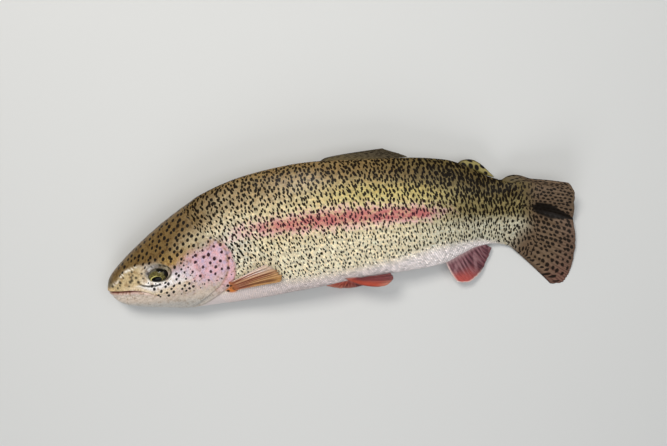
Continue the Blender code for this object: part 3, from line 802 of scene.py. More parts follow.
def newGroup(name, inputs, outputs):
    tree = bpy.data.node_groups.new(name, "ShaderNodeTree")
    for socketName, kind, value in inputs:
        socket = tree.interface.new_socket(socketName, in_out="INPUT", socket_type=kind)
        if value is not None:
            socket.default_value = value
    for socketName, kind in outputs:
        tree.interface.new_socket(socketName, in_out="OUTPUT", socket_type=kind)
    return tree, node(tree, "NodeGroupInput").outputs, node(tree, "NodeGroupOutput").inputs


def placeGroup(tree, group, inputs):
    made = node(tree, "ShaderNodeGroup", node_tree=group)
    for key, value in inputs.items():
        setOrLink(tree, made.inputs[key], value)
    return made.outputs


def makeSpotGroup():
    # dark marks set in staggered rows on a flat map of the skin; pitches and sizes in metres
    tree, get, result = newGroup(
        "spotMarks",
        [("Map", "NodeSocketVector", None), ("Pitch", "NodeSocketVector", (0.005, 0.007, 1)),
         ("Half Width", "NodeSocketFloat", 0.001), ("Half Height", "NodeSocketFloat", 0.002),
         ("Slant", "NodeSocketFloat", 0.2), ("Fan", "NodeSocketFloat", 0.5),
         ("Wobble", "NodeSocketFloat", 0.0006), ("Size", "NodeSocketFloat", 1.0),
         ("Uneven", "NodeSocketFloat", 0.5), ("Scatter", "NodeSocketFloat", 0.7),
         ("Seed", "NodeSocketFloat", 0.0)],
        [("Mask", "NodeSocketFloat")],
    )
    # shake the map a little, cut it into staggered cells and find the nearest mark's middle
    shake = vectorSum(tree, "SUBTRACT", noise(tree, get["Map"], 520.0, 2.0)["Color"], (0.5, 0.5, 0.5))
    shake = node(tree, "ShaderNodeVectorMath", {0: shake, "Scale": get["Wobble"]}, operation="SCALE")
    moved = vectorSum(tree, "ADD", get["Map"], shake.outputs[0])
    cell = parts(tree, vectorSum(tree, "DIVIDE", moved, get["Pitch"]))
    stagger = sums(tree, "MULTIPLY_ADD", cell[1], -0.5, cell[0])
    seeded = joined(tree, sums(tree, "ADD", stagger, get["Seed"]), sums(tree, "ADD", cell[1], get["Seed"]))
    nearest = {"Vector": seeded, "Scale": 1.0, "Randomness": get["Scatter"]}
    voronoi = node(tree, "ShaderNodeTexVoronoi", nearest, voronoi_dimensions="2D", feature="F1").outputs
    off = parts(tree, vectorSum(tree, "SUBTRACT", seeded, voronoi["Position"]))
    straight = joined(tree, sums(tree, "MULTIPLY_ADD", off[1], 0.5, off[0]), off[1])
    part = parts(tree, vectorSum(tree, "MULTIPLY", straight, get["Pitch"]))
    # marks lean one way above the flank's middle and the other way below it
    girth = parts(tree, get["Map"])[1]
    spread = {"Value": girth, "From Min": -0.03, "From Max": 0.03, "To Min": get["Slant"],
              "To Max": product(tree, get["Slant"], -1.0)}
    lean = node(tree, "ShaderNodeMapRange", spread).outputs[0]
    colour = node(tree, "ShaderNodeSeparateColor", {0: voronoi["Color"]}).outputs
    fan = product(tree, sums(tree, "SUBTRACT", colour[2], 0.5), get["Fan"])
    slanted = sums(tree, "MULTIPLY_ADD", part[1], sums(tree, "ADD", lean, fan), part[0])
    across = sums(tree, "DIVIDE", slanted, get["Half Width"])
    down = sums(tree, "DIVIDE", part[1], get["Half Height"])
    reach = ovalReach(tree, across, down)
    uneven = product(tree, colour[0], get["Uneven"])
    size = product(tree, get["Size"], sums(tree, "SUBTRACT", 1.15, uneven))
    gone = rampNode(tree, get["Size"], 0.02, 0.12)
    edge = rampNode(tree, sums(tree, "SUBTRACT", size, reach), -0.14, 0.18)
    tree.links.new(product(tree, edge, gone), result["Mask"])
    return tree


def makeFleckGroup():
    # small lighter and darker flecks over a colour
    tree, get, result = newGroup(
        "fleckedTone",
        [("Map", "NodeSocketVector", None), ("Color", "NodeSocketColor", (1, 1, 1, 1)),
         ("Scale", "NodeSocketFloat", 900.0), ("Amount", "NodeSocketFloat", 0.3)],
        [("Color", "NodeSocketColor"), ("Height", "NodeSocketFloat")],
    )
    fine = noise(tree, get["Map"], get["Scale"], 3.0, flat=False)["Fac"]
    broad = noise(tree, get["Map"], 170.0, 3.0, 0.7, flat=False)["Fac"]
    both = sums(tree, "ADD", product(tree, fine, 0.6), product(tree, broad, 0.4))
    swing = product(tree, sums(tree, "SUBTRACT", both, 0.5), get["Amount"])
    gain = sums(tree, "MULTIPLY_ADD", swing, 2.0, 1.0)
    scaled = node(tree, "ShaderNodeVectorMath", {0: get["Color"], "Scale": gain}, operation="SCALE")
    tree.links.new(scaled.outputs[0], result["Color"])
    tree.links.new(both, result["Height"])
    return tree


spotMarks = makeSpotGroup()
fleckedTone = makeFleckGroup()

marks = {
    # a close layer of dashes and a looser one over it, so that some of them touch
    "dashes": {"Slant": 0.14, "Fan": 0.55, "Wobble": 0.0011, "Uneven": 0.42, "Scatter": 0.72},
    "dashLayers": [
        {"Pitch": (0.0037, 0.0043, 1), "Half Width": 0.00085, "Half Height": 0.00172, "Seed": 3.0},
        {"Pitch": (0.0061, 0.0067, 1), "Half Width": 0.00079, "Half Height": 0.00162, "Seed": 31.5},
    ],
    "upright": {"Slant": 0.0, "Fan": 0.2},
    "head": {"Pitch": (0.0056, 0.0054, 1), "Half Width": 0.00155, "Half Height": 0.00150,
             "Wobble": 0.0008, "Uneven": 0.34, "Scatter": 0.62, "Seed": 7.0},
    "gill": {"Pitch": (0.0074, 0.0074, 1), "Half Width": 0.00165, "Half Height": 0.00160,
             "Wobble": 0.0012, "Uneven": 0.36, "Scatter": 0.66, "Seed": 12.0},
    "ink": (0.006, 0.0035, 0.0016, 1),
    "plumInk": (0.055, 0.010, 0.022, 1),
    "pink": (*sRGB(182, 74, 92), 1),
    "palePink": (*sRGB(226, 178, 182), 1),
    "pearlBlue": (*sRGB(150, 150, 190), 1),
    "pearlRose": (*sRGB(226, 166, 168), 1),
    "dusky": (0.62, 0.53, 0.44, 1),  # the skin's darker patches are tinted with this
    # how much of each shows at most
    "pearlBlueShare": 0.42, "pearlRoseShare": 0.55, "pinkShare": 0.80, "inkShare": 0.98,
}


def spotMask(tree, place, size, *plans):
    values = {"Map": place, "Size": size}
    for plan in plans:
        values.update(plan)
    return placeGroup(tree, spotMarks, values)["Mask"]


def dashMask(tree, fishMap, size):
    layers = [spotMask(tree, fishMap, size, marks["dashes"], layer) for layer in marks["dashLayers"]]
    return sums(tree, "MAXIMUM", *layers)


def markedColour(tree):
    # the ground colour with the pink stripe, the body's dashes and the head's dots
    fishMap = uvMap(tree, "fishMap")
    fleck = placeGroup(tree, fleckedTone, {"Map": fishMap, "Color": attribute(tree, "ground", "Color"),
                                           "Scale": 700.0, "Amount": attribute(tree, "mottle")})
    # clouds of pearly blue and rose on the gill cover, and darker patches on bare skin
    cloud = noise(tree, fishMap, 210.0, 3.0, 0.6)["Color"]
    cloud = node(tree, "ShaderNodeSeparateColor", {0: cloud}).outputs
    pearl = attribute(tree, "pearl")
    blue = product(tree, rampNode(tree, cloud[0], 0.50, 0.66), product(tree, pearl, marks["pearlBlueShare"]))
    rose = product(tree, rampNode(tree, cloud[1], 0.50, 0.66), product(tree, pearl, marks["pearlRoseShare"]))
    dusky = mixColour(tree, 1.0, fleck["Color"], marks["dusky"], "MULTIPLY")
    patch = product(tree, rampNode(tree, cloud[2], 0.50, 0.68), attribute(tree, "mottle"))
    colour = mixColour(tree, blue, mixColour(tree, patch, fleck["Color"], dusky), marks["pearlBlue"])
    colour = mixColour(tree, rose, colour, marks["pearlRose"])
    # the pink stripe, broken into patches
    patches = noise(tree, fishMap, 150.0, 5.0, 0.95)["Fac"]
    share = attribute(tree, "stripe")
    pink = rampNode(tree, sums(tree, "MULTIPLY_ADD", patches, 3.4, share), 1.85, 2.75)
    pink = product(tree, pink, rampNode(tree, share, 0.04, 0.35))
    pinkTone = mixColour(tree, rampNode(tree, share, 0.45, 0.95), marks["palePink"], marks["pink"])
    colour = mixColour(tree, product(tree, pink, marks["pinkShare"]), colour, pinkTone)
    # dark marks, a little redder on the stripe and the gill cover
    dashes = dashMask(tree, fishMap, attribute(tree, "trunkMarks"))
    dots = spotMask(tree, fishMap, attribute(tree, "headMarks"), marks["upright"], marks["head"])
    gill = spotMask(tree, fishMap, attribute(tree, "gillMarks"), marks["upright"], marks["gill"])
    dark = sums(tree, "MAXIMUM", dashes, sums(tree, "MAXIMUM", dots, gill))
    plum = sums(tree, "MAXIMUM", product(tree, pink, 0.8), product(tree, gill, 0.5))
    ink = mixColour(tree, plum, marks["ink"], marks["plumInk"])
    return mixColour(tree, product(tree, dark, marks["inkShare"]), colour, ink), fleck["Height"], dark


def makeFleshMaterial(name, roughness, coat, shine, relief):
    material, tree = newMaterial(name)
    colour, height, dark = markedColour(tree)
    return finishMaterial(material, colour, (height, relief, 0.0006), {
        "Roughness": sums(tree, "MULTIPLY_ADD", height, 0.25, roughness),
        # the dark marks are less shiny than the skin between them
        "Coat Weight": sums(tree, "MULTIPLY_ADD", dark, -0.8 * coat, coat),
        "Coat Roughness": 0.07,
        "Coat IOR": 1.33,
        "Specular IOR Level": shine,
    })


skin = makeSkin()
skin.data.materials.append(makeFleshMaterial("wetSkin", 0.20, 0.25, 0.18, 0.9))
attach(skin, "root")
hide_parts("head", "lower_jaw", "gill_cover_left", "gill_cover_right", "trunk_front",
            "trunk_rear", "tail_stalk")
print("skin made,", len(skin.data.polygons), "faces")

scalePlan = {
    "pitch": 2.25,  # along the body, mm
    "rowPitch": 2.0,  # round the body, mm
    "length": 3.4,
    "width": 2.75,
    "lift": 0.36,  # how far the rear edge stands over the root
    "dome": 0.07,
    "segments": 10,
    "first": 100.0,
    "last": 403.0,
    "pieces": {"front": (0, 235), "rear": (235, 409)},  # stretches along the body
    "lateralLine": 85.5,  # turn from the back, degrees
    "rows": (-34, 44),  # counted from the lateral line, up and down
    "tailEdge": (402.5, 5.0),  # where they end on the stalk, and how much sooner at back and belly
    # random spread: of the place, lift (mm), size (share), turn in its plane (radians) and colour
    "uneven": {"place": 0.10, "lift": 0.025, "size": 0.06, "spin": 0.10, "tint": 0.135, "warm": 0.026},
    "growth": [(100, 0.70), (125, 0.92), (160, 1.0), (290, 1.0), (350, 0.88), (408, 0.74)],
}


def scaleRoots(side):
    # places of one side's scales in staggered rows: distance along and arc from the back
    s = scalePlan["first"]
    roots = []
    column = 0
    while s < scalePlan["last"]:
        size = float(smoothCurve(scalePlan["growth"], s))
        line = float(girthAt(s, scalePlan["lateralLine"]))
        for row in range(*scalePlan["rows"]):
            if (row + column) % 2 == 0:
                roots.append((s, line + row * scalePlan["rowPitch"] * size, size, row == 0))
        s += scalePlan["pitch"] * size / 2
        column += 1
    s, girth, size, isLine = np.array(roots).T
    s = s + draw.normal(0, scalePlan["uneven"]["place"], len(s))
    girth = girth + draw.normal(0, scalePlan["uneven"]["place"], len(s))
    turn, share = turnFromGirth(s, girth)
    lobe = lobeDistance(s, turn)
    edge, sooner = scalePlan["tailEdge"]
    keep = (girth > 0.1) & (share < 0.992) & (s > bareEdge(turn) + 1.4) & (lobe > 1)
    keep &= s < edge - sooner * (np.abs(turn - 90) / 90) ** 2
    keep &= onBody(s, side * turn, 0.0)[:, 2] > 0.25 * mm
    return s[keep], girth[keep], turn[keep], size[keep], isLine[keep]


def makeScales(side, name, start, end):
    roots = scaleRoots(side)
    here = (roots[0] >= start) & (roots[0] < end)
    s, girth, turn, size, isLine = (values[here, None] for values in roots)
    count = len(s)
    uneven = scalePlan["uneven"]
    scales = newPiece(name, bpy.ops.mesh.primitive_uv_sphere_add, segments=scalePlan["segments"],
                      ring_count=2, radius=1)

    def sharpRim():
        bpy.ops.mesh.faces_shade_smooth()
        bpy.ops.mesh.select_all(action="DESELECT")
        bpy.ops.object.mode_set(mode="OBJECT")
        flat = [abs(vertex.co.z) < 0.5 for vertex in scales.data.vertices]
        for edge in scales.data.edges:
            edge.select = all(flat[i] for i in edge.vertices)
        bpy.ops.object.mode_set(mode="EDIT")
        bpy.ops.mesh.mark_sharp()

    inEditMode(scales, sharpRim)
    plate = np.array([vertex.co for vertex in scales.data.vertices])
    copies = scales.modifiers.new("copies", "ARRAY")
    copies.count = count
    copies.use_relative_offset = False
    bpy.ops.object.modifier_apply(modifier="copies")
    a, b, pole = plate.T * [[1], [-side], [1]]  # mirrored on the left, so faces point out
    spin = draw.normal(0, uneven["spin"], (count, 1))
    grow = size * (1 + draw.normal(0, uneven["size"], (count, 1)))
    alongPart = (a * np.cos(spin) - 0.8 * b * np.sin(spin)) * scalePlan["length"] / 2 * grow
    aroundPart = (0.8 * a * np.sin(spin) + b * np.cos(spin)) * scalePlan["width"] / 2 * grow
    out = scalePlan["lift"] * (0.5 + 0.5 * a) + draw.normal(0, uneven["lift"], (count, 1)) + 0.06 * isLine
    out = out + np.where(pole > 0.5, scalePlan["dome"] + 0.06, 0) - np.where(pole < -0.5, 0.12, 0)
    atS = s + alongPart
    atTurn, _ = turnFromGirth(atS, girth + aroundPart)
    points = onBody(atS, side * atTurn, -body["coat"] + out * (0.6 + 0.4 * size))
    mesh = scales.data
    layPoints(mesh, aboveFloor(points))
    # every scale a little lighter or darker, warmer or cooler; those of the white belly by less
    pale = ramp(0.12, -0.08, np.cos(np.radians(turn)) - smoothCurve(body["whiteTop"], s))
    spread = 1 + pale * (ramp(110, 220, s) - 0.75)
    tint = 1 + draw.normal(0, uneven["tint"], (count, 1)) * spread - 0.12 * isLine
    warm = draw.normal(0, uneven["warm"], (count, 1, 1)) * (1 - 0.7 * pale)[..., None]
    warm = warm * np.array([1.0, -0.1, -1.4])
    # painted light and shade: each scale lighter on its dome and darker towards its rim, where it meets its
    # neighbours
    rim = 0.91 - 0.10 * a - 0.21 * pale * ramp(80, 180, s) * (1 + a)
    shade = np.where(pole > 0.5, 1.08 + 0.13 * pale, rim) * tint
    ground = groundColour(s, side * turn) * shade[..., None] * (1 + warm)
    evenly = np.ones_like(a)
    storeLooks(mesh, s * evenly, side * turn * evenly, ground)
    spot = np.stack([a * evenly, b * evenly], axis=-1)
    storeMap(mesh, "OFBake", skinMap(s, side * turn) + 0.0015 * spot)
    storeMap(mesh, "fishMap", np.stack([atS * mm, side * (girth + aroundPart) * mm], axis=-1))
    return scales


scaleFinish = makeFleshMaterial("scaleSheen", 0.24, 0.34, 0.05, 0.3)
for side, word in sides.items():
    for where, (start, end) in scalePlan["pieces"].items():
        scales = makeScales(side, "scales_" + where + "_" + word, start, end)
        scales.data.materials.append(scaleFinish)
        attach(scales, "root")
        print(scales.name, len(scales.data.polygons), "faces")


def bentRays(base, outward, tailward, angle, bend, length, rows):
    # rays that start at an angle from tailward to outward, in degrees, and turn by bend
    steps = rows - 1
    sheet = [base]
    for j in range(steps):
        turn = np.radians(angle - bend * (j + 0.5) / steps)[:, None]
        stride = (length / steps)[:, None] * mm
        sheet.append(sheet[-1] + (tailward * np.cos(turn) + outward * np.sin(turn)) * stride)
    return np.stack(sheet)


def raySpread(q, v, count):
    # 1 on a fin ray and 0 on the web between; each ray forks twice on its way out
    place = (q * count) % 1.0
    first = 0.25 * ramp(0.25, 0.95, v)
    second = 0.125 * ramp(0.55, 1.0, v)
    thick = 0.20 - 0.11 * ramp(0.3, 1.0, v)
    ridge = 0
    for one in (-1, 1):
        for two in (-1, 1):
            ridge = np.maximum(ridge, bump(place - 0.5 - one * first - two * second, thick))
    return ridge


def makeFin(name, plan, tone, q, v, sheet, thin=None):
    # a closed leaf round a sheet of points, its rays standing out on both faces: q is the share across
    # the rays, v the share along them and thin half the web's thickness, where the plan's is not meant
    count = plan["rays"]
    tipHalf, rootHalf, power = plan["half"]
    half = tipHalf + rootHalf * (1 - v) ** power + 0 * q if thin is None else thin
    ridge = raySpread(q, v, count) if count else 0 * q * v
    normal = surfaceNormals(sheet)
    outWay = sheet[-1:] - sheet[-4:-3]
    outWay = outWay / np.linalg.norm(outWay, axis=-1, keepdims=True)
    torn = 0
    if count:
        torn = np.interp(q * count * 2, np.arange(2 * count + 1), draw.normal(0, 0.5, 2 * count + 1))
    fringe = (plan["fringe"] * (ridge - 0.6) + 0.6 * plan["fringe"] * torn) * v**8
    pleat = plan["pleat"] * np.cos(2 * math.pi * q * count) * ramp(0.0, 0.5, v)
    sheet = sheet + outWay * fringe[..., None] * mm + normal * pleat[..., None] * mm
    joints = 0.02 * np.sin(v * plan["joints"]) * ramp(0.25, 0.5, v)
    thick = half + plan["relief"] * ridge * (1 - 0.55 * v) + joints * ridge
    thick = thick * np.clip(plan["edge"] * np.minimum(q, 1 - q), 0, 1) ** 0.5
    ways = normal
    if "squareTo" in plan:
        ways = normal - plan["squareTo"] * (normal @ plan["squareTo"])[..., None]
        ways = ways / np.linalg.norm(ways, axis=-1, keepdims=True)
    upper = sheet + ways * thick[..., None] * mm
    lower = sheet - ways * thick[..., None] * mm
    points = np.concatenate([upper, lower[::-1], upper[:1]])
    # near the floor the fin flattens softly instead of passing through it
    low, high = 0.3 * mm, points[..., 2]
    points[..., 2] = np.where(high > low, high, low * np.exp(high / low - 1))

    def bothFaces(values):
        values = np.broadcast_to(values, ridge.shape + np.shape(values)[2:])
        return np.concatenate([values, values[::-1], values[:1]])

    fin = gridPiece(name, points)
    mesh = fin.data
    storeColour(mesh, "ground", bothFaces(tone(q + 0 * v, v + 0 * q, ridge)))
    storeFloat(mesh, "finMarks", bothFaces(plan.get("marks", noMarks)(q + 0 * v, v + 0 * q)))
    storeFloat(mesh, "ray", bothFaces(ridge))
    rayMap = np.stack(np.broadcast_arrays(v * plan["reach"] * mm, q * max(count, 4) * mm * 4), axis=-1)
    storeMap(mesh, "rayMap", bothFaces(rayMap))
    if "onStalk" in plan:  # the body's dashes run on over the fin's root
        s, girth, size = plan["onStalk"](q, v)
        fishMap = bothFaces(np.stack([s, girth], axis=-1) * mm)
        fishMap[len(s):-1, :, 1] *= -1
        storeMap(mesh, "fishMap", fishMap)
        storeFloat(mesh, "trunkMarks", bothFaces(size))

    def closeUp():
        bpy.ops.mesh.remove_doubles(threshold=0.000001)
        turnOut()

    inEditMode(fin, closeUp)
    bpy.ops.object.shade_smooth()
    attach(fin, "root")
    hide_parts(name.replace("Fine", ""))
    return fin


def noMarks(q, v):
    return 0 * q * v


def rayTone(plan, q, v, ridge):
    # the plan's colours from root to tip, mixed towards the rays' own colour on them
    base = np.zeros(q.shape + (3,)) + plan["stops"][0][1]
    for (v0, _), (v1, colour) in zip(plan["stops"][:-1], plan["stops"][1:]):
        base = blend(base, colour, ramp(v0, v1, v))
    if "front" in plan:
        width, strength, colour = plan["front"]
        base = blend(base, colour, strength * ramp(width, 0, q))
    return blend(base, plan["ray"], 0.72 * ridge * ramp(0.02, 0.2, v))


def grid(plan):
    columns, rows = plan["grid"]
    return np.linspace(0, 1, columns)[None, :], np.linspace(0, 1, rows)[:, None]


def makeFinMaterial(name, spot, roughness, dashed=False, coat=0.25):
    material, tree = newMaterial(name)
    rayMap = uvMap(tree, "rayMap")
    fleck = placeGroup(tree, fleckedTone, {"Map": rayMap, "Color": attribute(tree, "ground", "Color"),
                                           "Scale": 600.0, "Amount": 0.5})
    spots = spotMask(tree, rayMap, attribute(tree, "finMarks"), marks["upright"], spot)
    if dashed:
        fishMap = uvMap(tree, "fishMap")
        spots = sums(tree, "MAXIMUM", spots, dashMask(tree, fishMap, attribute(tree, "trunkMarks")))
    colour = mixColour(tree, product(tree, spots, 0.95), fleck["Color"], marks["ink"])
    rough = sums(tree, "MULTIPLY_ADD", fleck["Height"], 0.3, roughness)
    lines = sums(tree, "MULTIPLY_ADD", fleck["Height"], 0.4, attribute(tree, "ray"))
    return finishMaterial(material, colour, (lines, 0.45, 0.0003), {
        "Roughness": rough,
        "Coat Weight": sums(tree, "MULTIPLY_ADD", spots, -0.8 * coat, coat),
        "Coat Roughness": 0.15,
        "Coat IOR": 1.36,
        "Specular IOR Level": 0.10,
    })


finSpots = {
    "tail": {"Pitch": (0.0050, 0.0032, 1), "Half Width": 0.00195, "Half Height": 0.00116,
             "Wobble": 0.0012, "Uneven": 0.34, "Scatter": 0.42, "Seed": 5.0},
    "lobe": {"Pitch": (0.0056, 0.0050, 1), "Half Width": 0.0017, "Half Height": 0.0014,
             "Wobble": 0.0008, "Uneven": 0.3, "Scatter": 0.7, "Seed": 9.0},
}

# In each fin, in mm: relief is how far the rays stand out, pleat how deep the folds between them are,
# fringe how ragged the edge is, joints how close the rays' joints are, edge how soon it thickens from its
# front and rear edges, reach the length of its map and grid the columns and rows of its mesh. half is
# half the web's thickness at the tip, what the root adds, and the power with which that fades.
tailFin = {
    "grid": (305, 72), "rays": 19, "relief": 0.20, "pleat": 0.12, "fringe": 0.9, "joints": 90.0,
    "edge": 22.0, "reach": 62.0, "half": (0.28, 0.7, 2.4),
    "backHalf": 1.5,  # what the thick rays on the stalk's back add to it
    "rootAt": 396.3,
    "rootHigh": 66.0,
    "backShare": 0.14,  # the share of the rays that sprout along the stalk's back
    "backRun": 18.0,  # how far forward they start
    # shares from the upper to the lower edge: reach of the tip, its height, its lift off the floor
    "tipReach": [(0, 40.5), (0.14, 47.2), (0.30, 52.3), (0.47, 57.6), (0.60, 62.2), (0.74, 64.8),
                 (0.86, 65.0), (0.93, 62.8), (0.97, 58.8), (1, 47.5)],
    "tipHigh": [(0, 39.7), (0.14, 32.1), (0.30, 18.1), (0.47, 0.4), (0.60, -15.2), (0.74, -32.1),
                (0.86, -47.7), (0.93, -58.5), (0.97, -66.3), (1, -69.1)],
    "tipRise": [(0, 20.0), (0.14, 18.5), (0.30, 11.0), (0.44, 3.0), (0.50, -1.0), (0.62, 2.0),
                (0.80, 1.5), (1, 1.0)],
    "pocket": 0.48,
    "sag": 6.3,
    # painted shade in the fold: its middle and its half width across the rays
    "foldShadeAt": [(0, 0.44), (0.4, 0.45), (0.7, 0.465), (1.0, 0.485)],  # middle of the dark fold
    "foldShadeHalf": [(0, 0.0), (0.30, 0.0), (0.42, 0.08), (0.60, 0.085), (0.80, 0.045), (1.0, 0.008)],
    "backRays": sRGB(98, 86, 62),
    "middle": sRGB(99, 80, 61),
    "rim": sRGB(94, 70, 58),
    "tip": sRGB(104, 62, 58),
    "ray": sRGB(128, 106, 86),
}


def tailShares(q):
    # how far a ray's root is along the stalk's back, then down the stalk's end
    share = tailFin["backShare"]
    return np.minimum(q / share, 1), np.maximum(q - share, 0) / (1 - share)


def tailOnStalk(q, v):
    onBack, beyond = tailShares(q)
    s = tailFin["rootAt"] - tailFin["backRun"] * (1 - onBack) + 55 * v
    return s, 68 * beyond + 0 * v, 1.15 * ramp(0.52, 0.30, v) * ramp(0.10, 0.18, q)


def tailTone(q, v, ridge):
    # the stalk's colours at the root, brown rays and a dark web further out, and painted shade in the fold
    s, girth, _ = tailOnStalk(q, v)
    s = np.minimum(s, body["end"])
    turn, _ = turnFromGirth(s, girth)
    web = ramp(0.5, 0.1, ridge) * ramp(0.60, 0.90, v) * (0.35 + 0.45 * ramp(0.5, 0.66, q))
    leaf = smoothCurve(tailFin["foldShadeHalf"], v)
    pocket = ramp(1.15, 0.8, np.abs(q - smoothCurve(tailFin["foldShadeAt"], v)) / (leaf + 0.004))
    rim = 0.8 * ramp(0.02, 0.0, np.minimum(q, 1 - q)) + 0.5 * ramp(0.98, 1.0, v)
    return layered(
        groundColour(s, turn),
        (tailFin["backRays"], ramp(0.22, 0.10, q) * ramp(0.0, 0.1, v)),
        (tailFin["middle"], ramp(0.04, 0.42, v + 0.18 * ramp(0.6, 0.95, q))),
        (tailFin["rim"], ramp(0.6, 1.0, v) * ramp(0.3, 0.6, q)),
        (tailFin["tip"], ramp(0.80, 0.97, q) * ramp(0.55, 1.0, v) * 0.8),
        (tailFin["ray"], 0.45 * ridge * ramp(0.12, 0.5, v)),
        ("ink", 0.7 * web),
        # painted shade in the fold, with the fin's darker edges
        ("ink", np.clip(0.98 * pocket + 0.5 * rim, 0, 0.98)),
    )


def tailMarks(q, v):
    hump = 0.8 * ramp(0.18, 0.10, q) * ramp(-0.02, 0.03, v)
    return np.maximum(ramp(0.22, 0.42, v), hump) * (1 - 0.2 * ramp(0.7, 0.95, q)) * ramp(1.0, 0.95, v)


def makeTailFin():
    q, v = grid(tailFin)
    v = v * 1.06 - 0.06
    onBack, beyond = tailShares(q[0])
    rootS = tailFin["rootAt"] - tailFin["backRun"] * (1 - onBack)
    _, _, backHere, _ = frameAt(rootS)
    base = onBody(rootS, 0.0, -0.9) - backHere * ((tailFin["rootHigh"] - 2) * beyond)[:, None] * mm
    centre, tail, back, left = frameAt(tailFin["rootAt"])
    tipKeys = ("tipReach", "tipHigh", "tipRise")
    reach, high, rise = (smoothCurve(tailFin[key], q)[..., None] for key in tipKeys)
    tip = centre + (tail * reach + back * high + left * rise) * mm
    flat = np.clip(v, 0, 1)
    arch = np.sin(math.pi * flat)
    sag = bump(q - tailFin["pocket"], 0.12) * arch * -tailFin["sag"]
    hump = 4.6 * np.exp(-(((flat - 0.19) / 0.17) ** 2)) * np.minimum(flat / 0.08, 1) + 2.5 * arch
    bow = np.exp(-((q / 0.12) ** 2)) * hump + 0.8 * q**3 * arch
    sheet = base * (1 - v[..., None]) + tip * v[..., None]
    sheet = sheet + left * sag[..., None] * mm + back * bow[..., None] * mm
    tipHalf, rootHalf, power = tailFin["half"]
    half = tipHalf + (rootHalf + tailFin["backHalf"] * onBack) * (1 - flat) ** power
    plan = dict(tailFin, squareTo=tail, onStalk=tailOnStalk, marks=tailMarks)
    return makeFin("tail_finFine", plan, tailTone, q, flat, sheet, half)


pelvicFin = {
    "grid": (141, 50), "rays": 10, "relief": 0.22, "pleat": 0.20, "fringe": 1.0, "joints": 60.0,
    "edge": 14.0, "reach": 42.0, "half": (0.20, 0.7, 2),
    "rootAt": (228.0, 237.0),
    # from front to rear ray: turn of the root, angle from tailward to outward, bend on the way (degrees)
    # and length; outward is a share of back and of left. The left one trails back, the right one lies
    # forward on the floor.
    "left": {"turn": (151, 158), "outward": (-0.93, -0.36), "angle": (44, 0), "bend": (34, 4),
             "length": [(0, 33.0), (0.25, 39.0), (0.6, 40.0), (1, 34.0)]},
    "right": {"turn": (-163, -167), "outward": (-0.55, -0.83), "angle": (128, 30), "bend": (-42, 18),
              "length": [(0, 26.0), (0.3, 31.0), (0.7, 32.0), (1, 25.0)]},
    "stops": [(0, sRGB(176, 116, 106)), (0.12, sRGB(184, 90, 72)), (0.7, sRGB(200, 98, 76)),
              (1.0, sRGB(222, 156, 132))],
    "ray": sRGB(146, 52, 42),
    # painted shadow of the body on the rear half
    "rearHalf": sRGB(124, 64, 68),
    "darkStreak": sRGB(46, 22, 24),
    "paleStreak": sRGB(204, 132, 118),
    "frontRay": sRGB(96, 52, 50),
}


def fromTo(ends, q):
    return ends[0] + (ends[1] - ends[0]) * q


def pelvicTone(q, v, ridge):
    streak = 0.5 + 0.5 * np.sin(q * 47 + 1.6 * np.sin(q * 19))
    rear = ramp(0.32, 0.68, q)
    dark = 0.8 * streak * ramp(0.2, 0.7, ridge) * ramp(0.2, 0.5, q) * ramp(0.04, 0.2, v)
    return layered(
        rayTone(pelvicFin, q, v, ridge),
        # the rear half painted darker, as the body's shadow falls on it
        (pelvicFin["rearHalf"], 0.9 * rear * ramp(0.02, 0.14, v)),
        (pelvicFin["darkStreak"], dark),
        (pelvicFin["paleStreak"], 0.45 * (1 - streak) * rear * ramp(0.5, 0.1, ridge) * ramp(0.2, 0.5, v)),
        (pelvicFin["frontRay"], 0.6 * ramp(0.18, 0.0, q)),
    )


def makePelvicFin(side):
    q, v = grid(pelvicFin)
    plan = pelvicFin[sides[side]]
    rootS = fromTo(pelvicFin["rootAt"], q[0])
    _, tail, back, left = frameAt(rootS)
    base = onBody(rootS, fromTo(plan["turn"], q[0]), 0.4)
    outward = back * plan["outward"][0] + left * plan["outward"][1]
    outward = outward / np.linalg.norm(outward, axis=1, keepdims=True)
    angle, bend = fromTo(plan["angle"], q[0]), fromTo(plan["bend"], q[0])
    sheet = bentRays(base, outward, tail, angle, bend, smoothCurve(plan["length"], q[0]), len(v))
    if side < 0:
        sheet[..., 2] = np.maximum(sheet[..., 2], 0.8 * mm)
    return makeFin("pelvic_fin_" + sides[side] + "Fine", pelvicFin, pelvicTone, q, v, sheet)


analFin = {
    "grid": (169, 44), "rays": 12, "relief": 0.24, "pleat": 0.12, "fringe": 0.9, "joints": 60.0,
    "edge": 14.0, "reach": 34.0, "half": (0.20, 0.7, 2),
    "rootAt": (331.0, 374.0),
    "angle": (71, 40),
    "bend": 22.0,
    "length": [(0, 24.0), (0.25, 30.5), (0.5, 27.0), (0.75, 18.0), (1, 7.0)],
    "stops": [(0, sRGB(196, 160, 160)), (0.22, sRGB(122, 82, 88)), (0.75, sRGB(112, 70, 76)),
              (1.0, sRGB(126, 76, 78))],
    "ray": sRGB(96, 56, 62),
    "darkStreak": sRGB(56, 32, 40),
    "paleStreak": sRGB(176, 138, 140),
    "rearHalf": sRGB(96, 58, 64),
    "redTip": sRGB(182, 84, 76),
    "whiteEdge": sRGB(232, 206, 196),
}


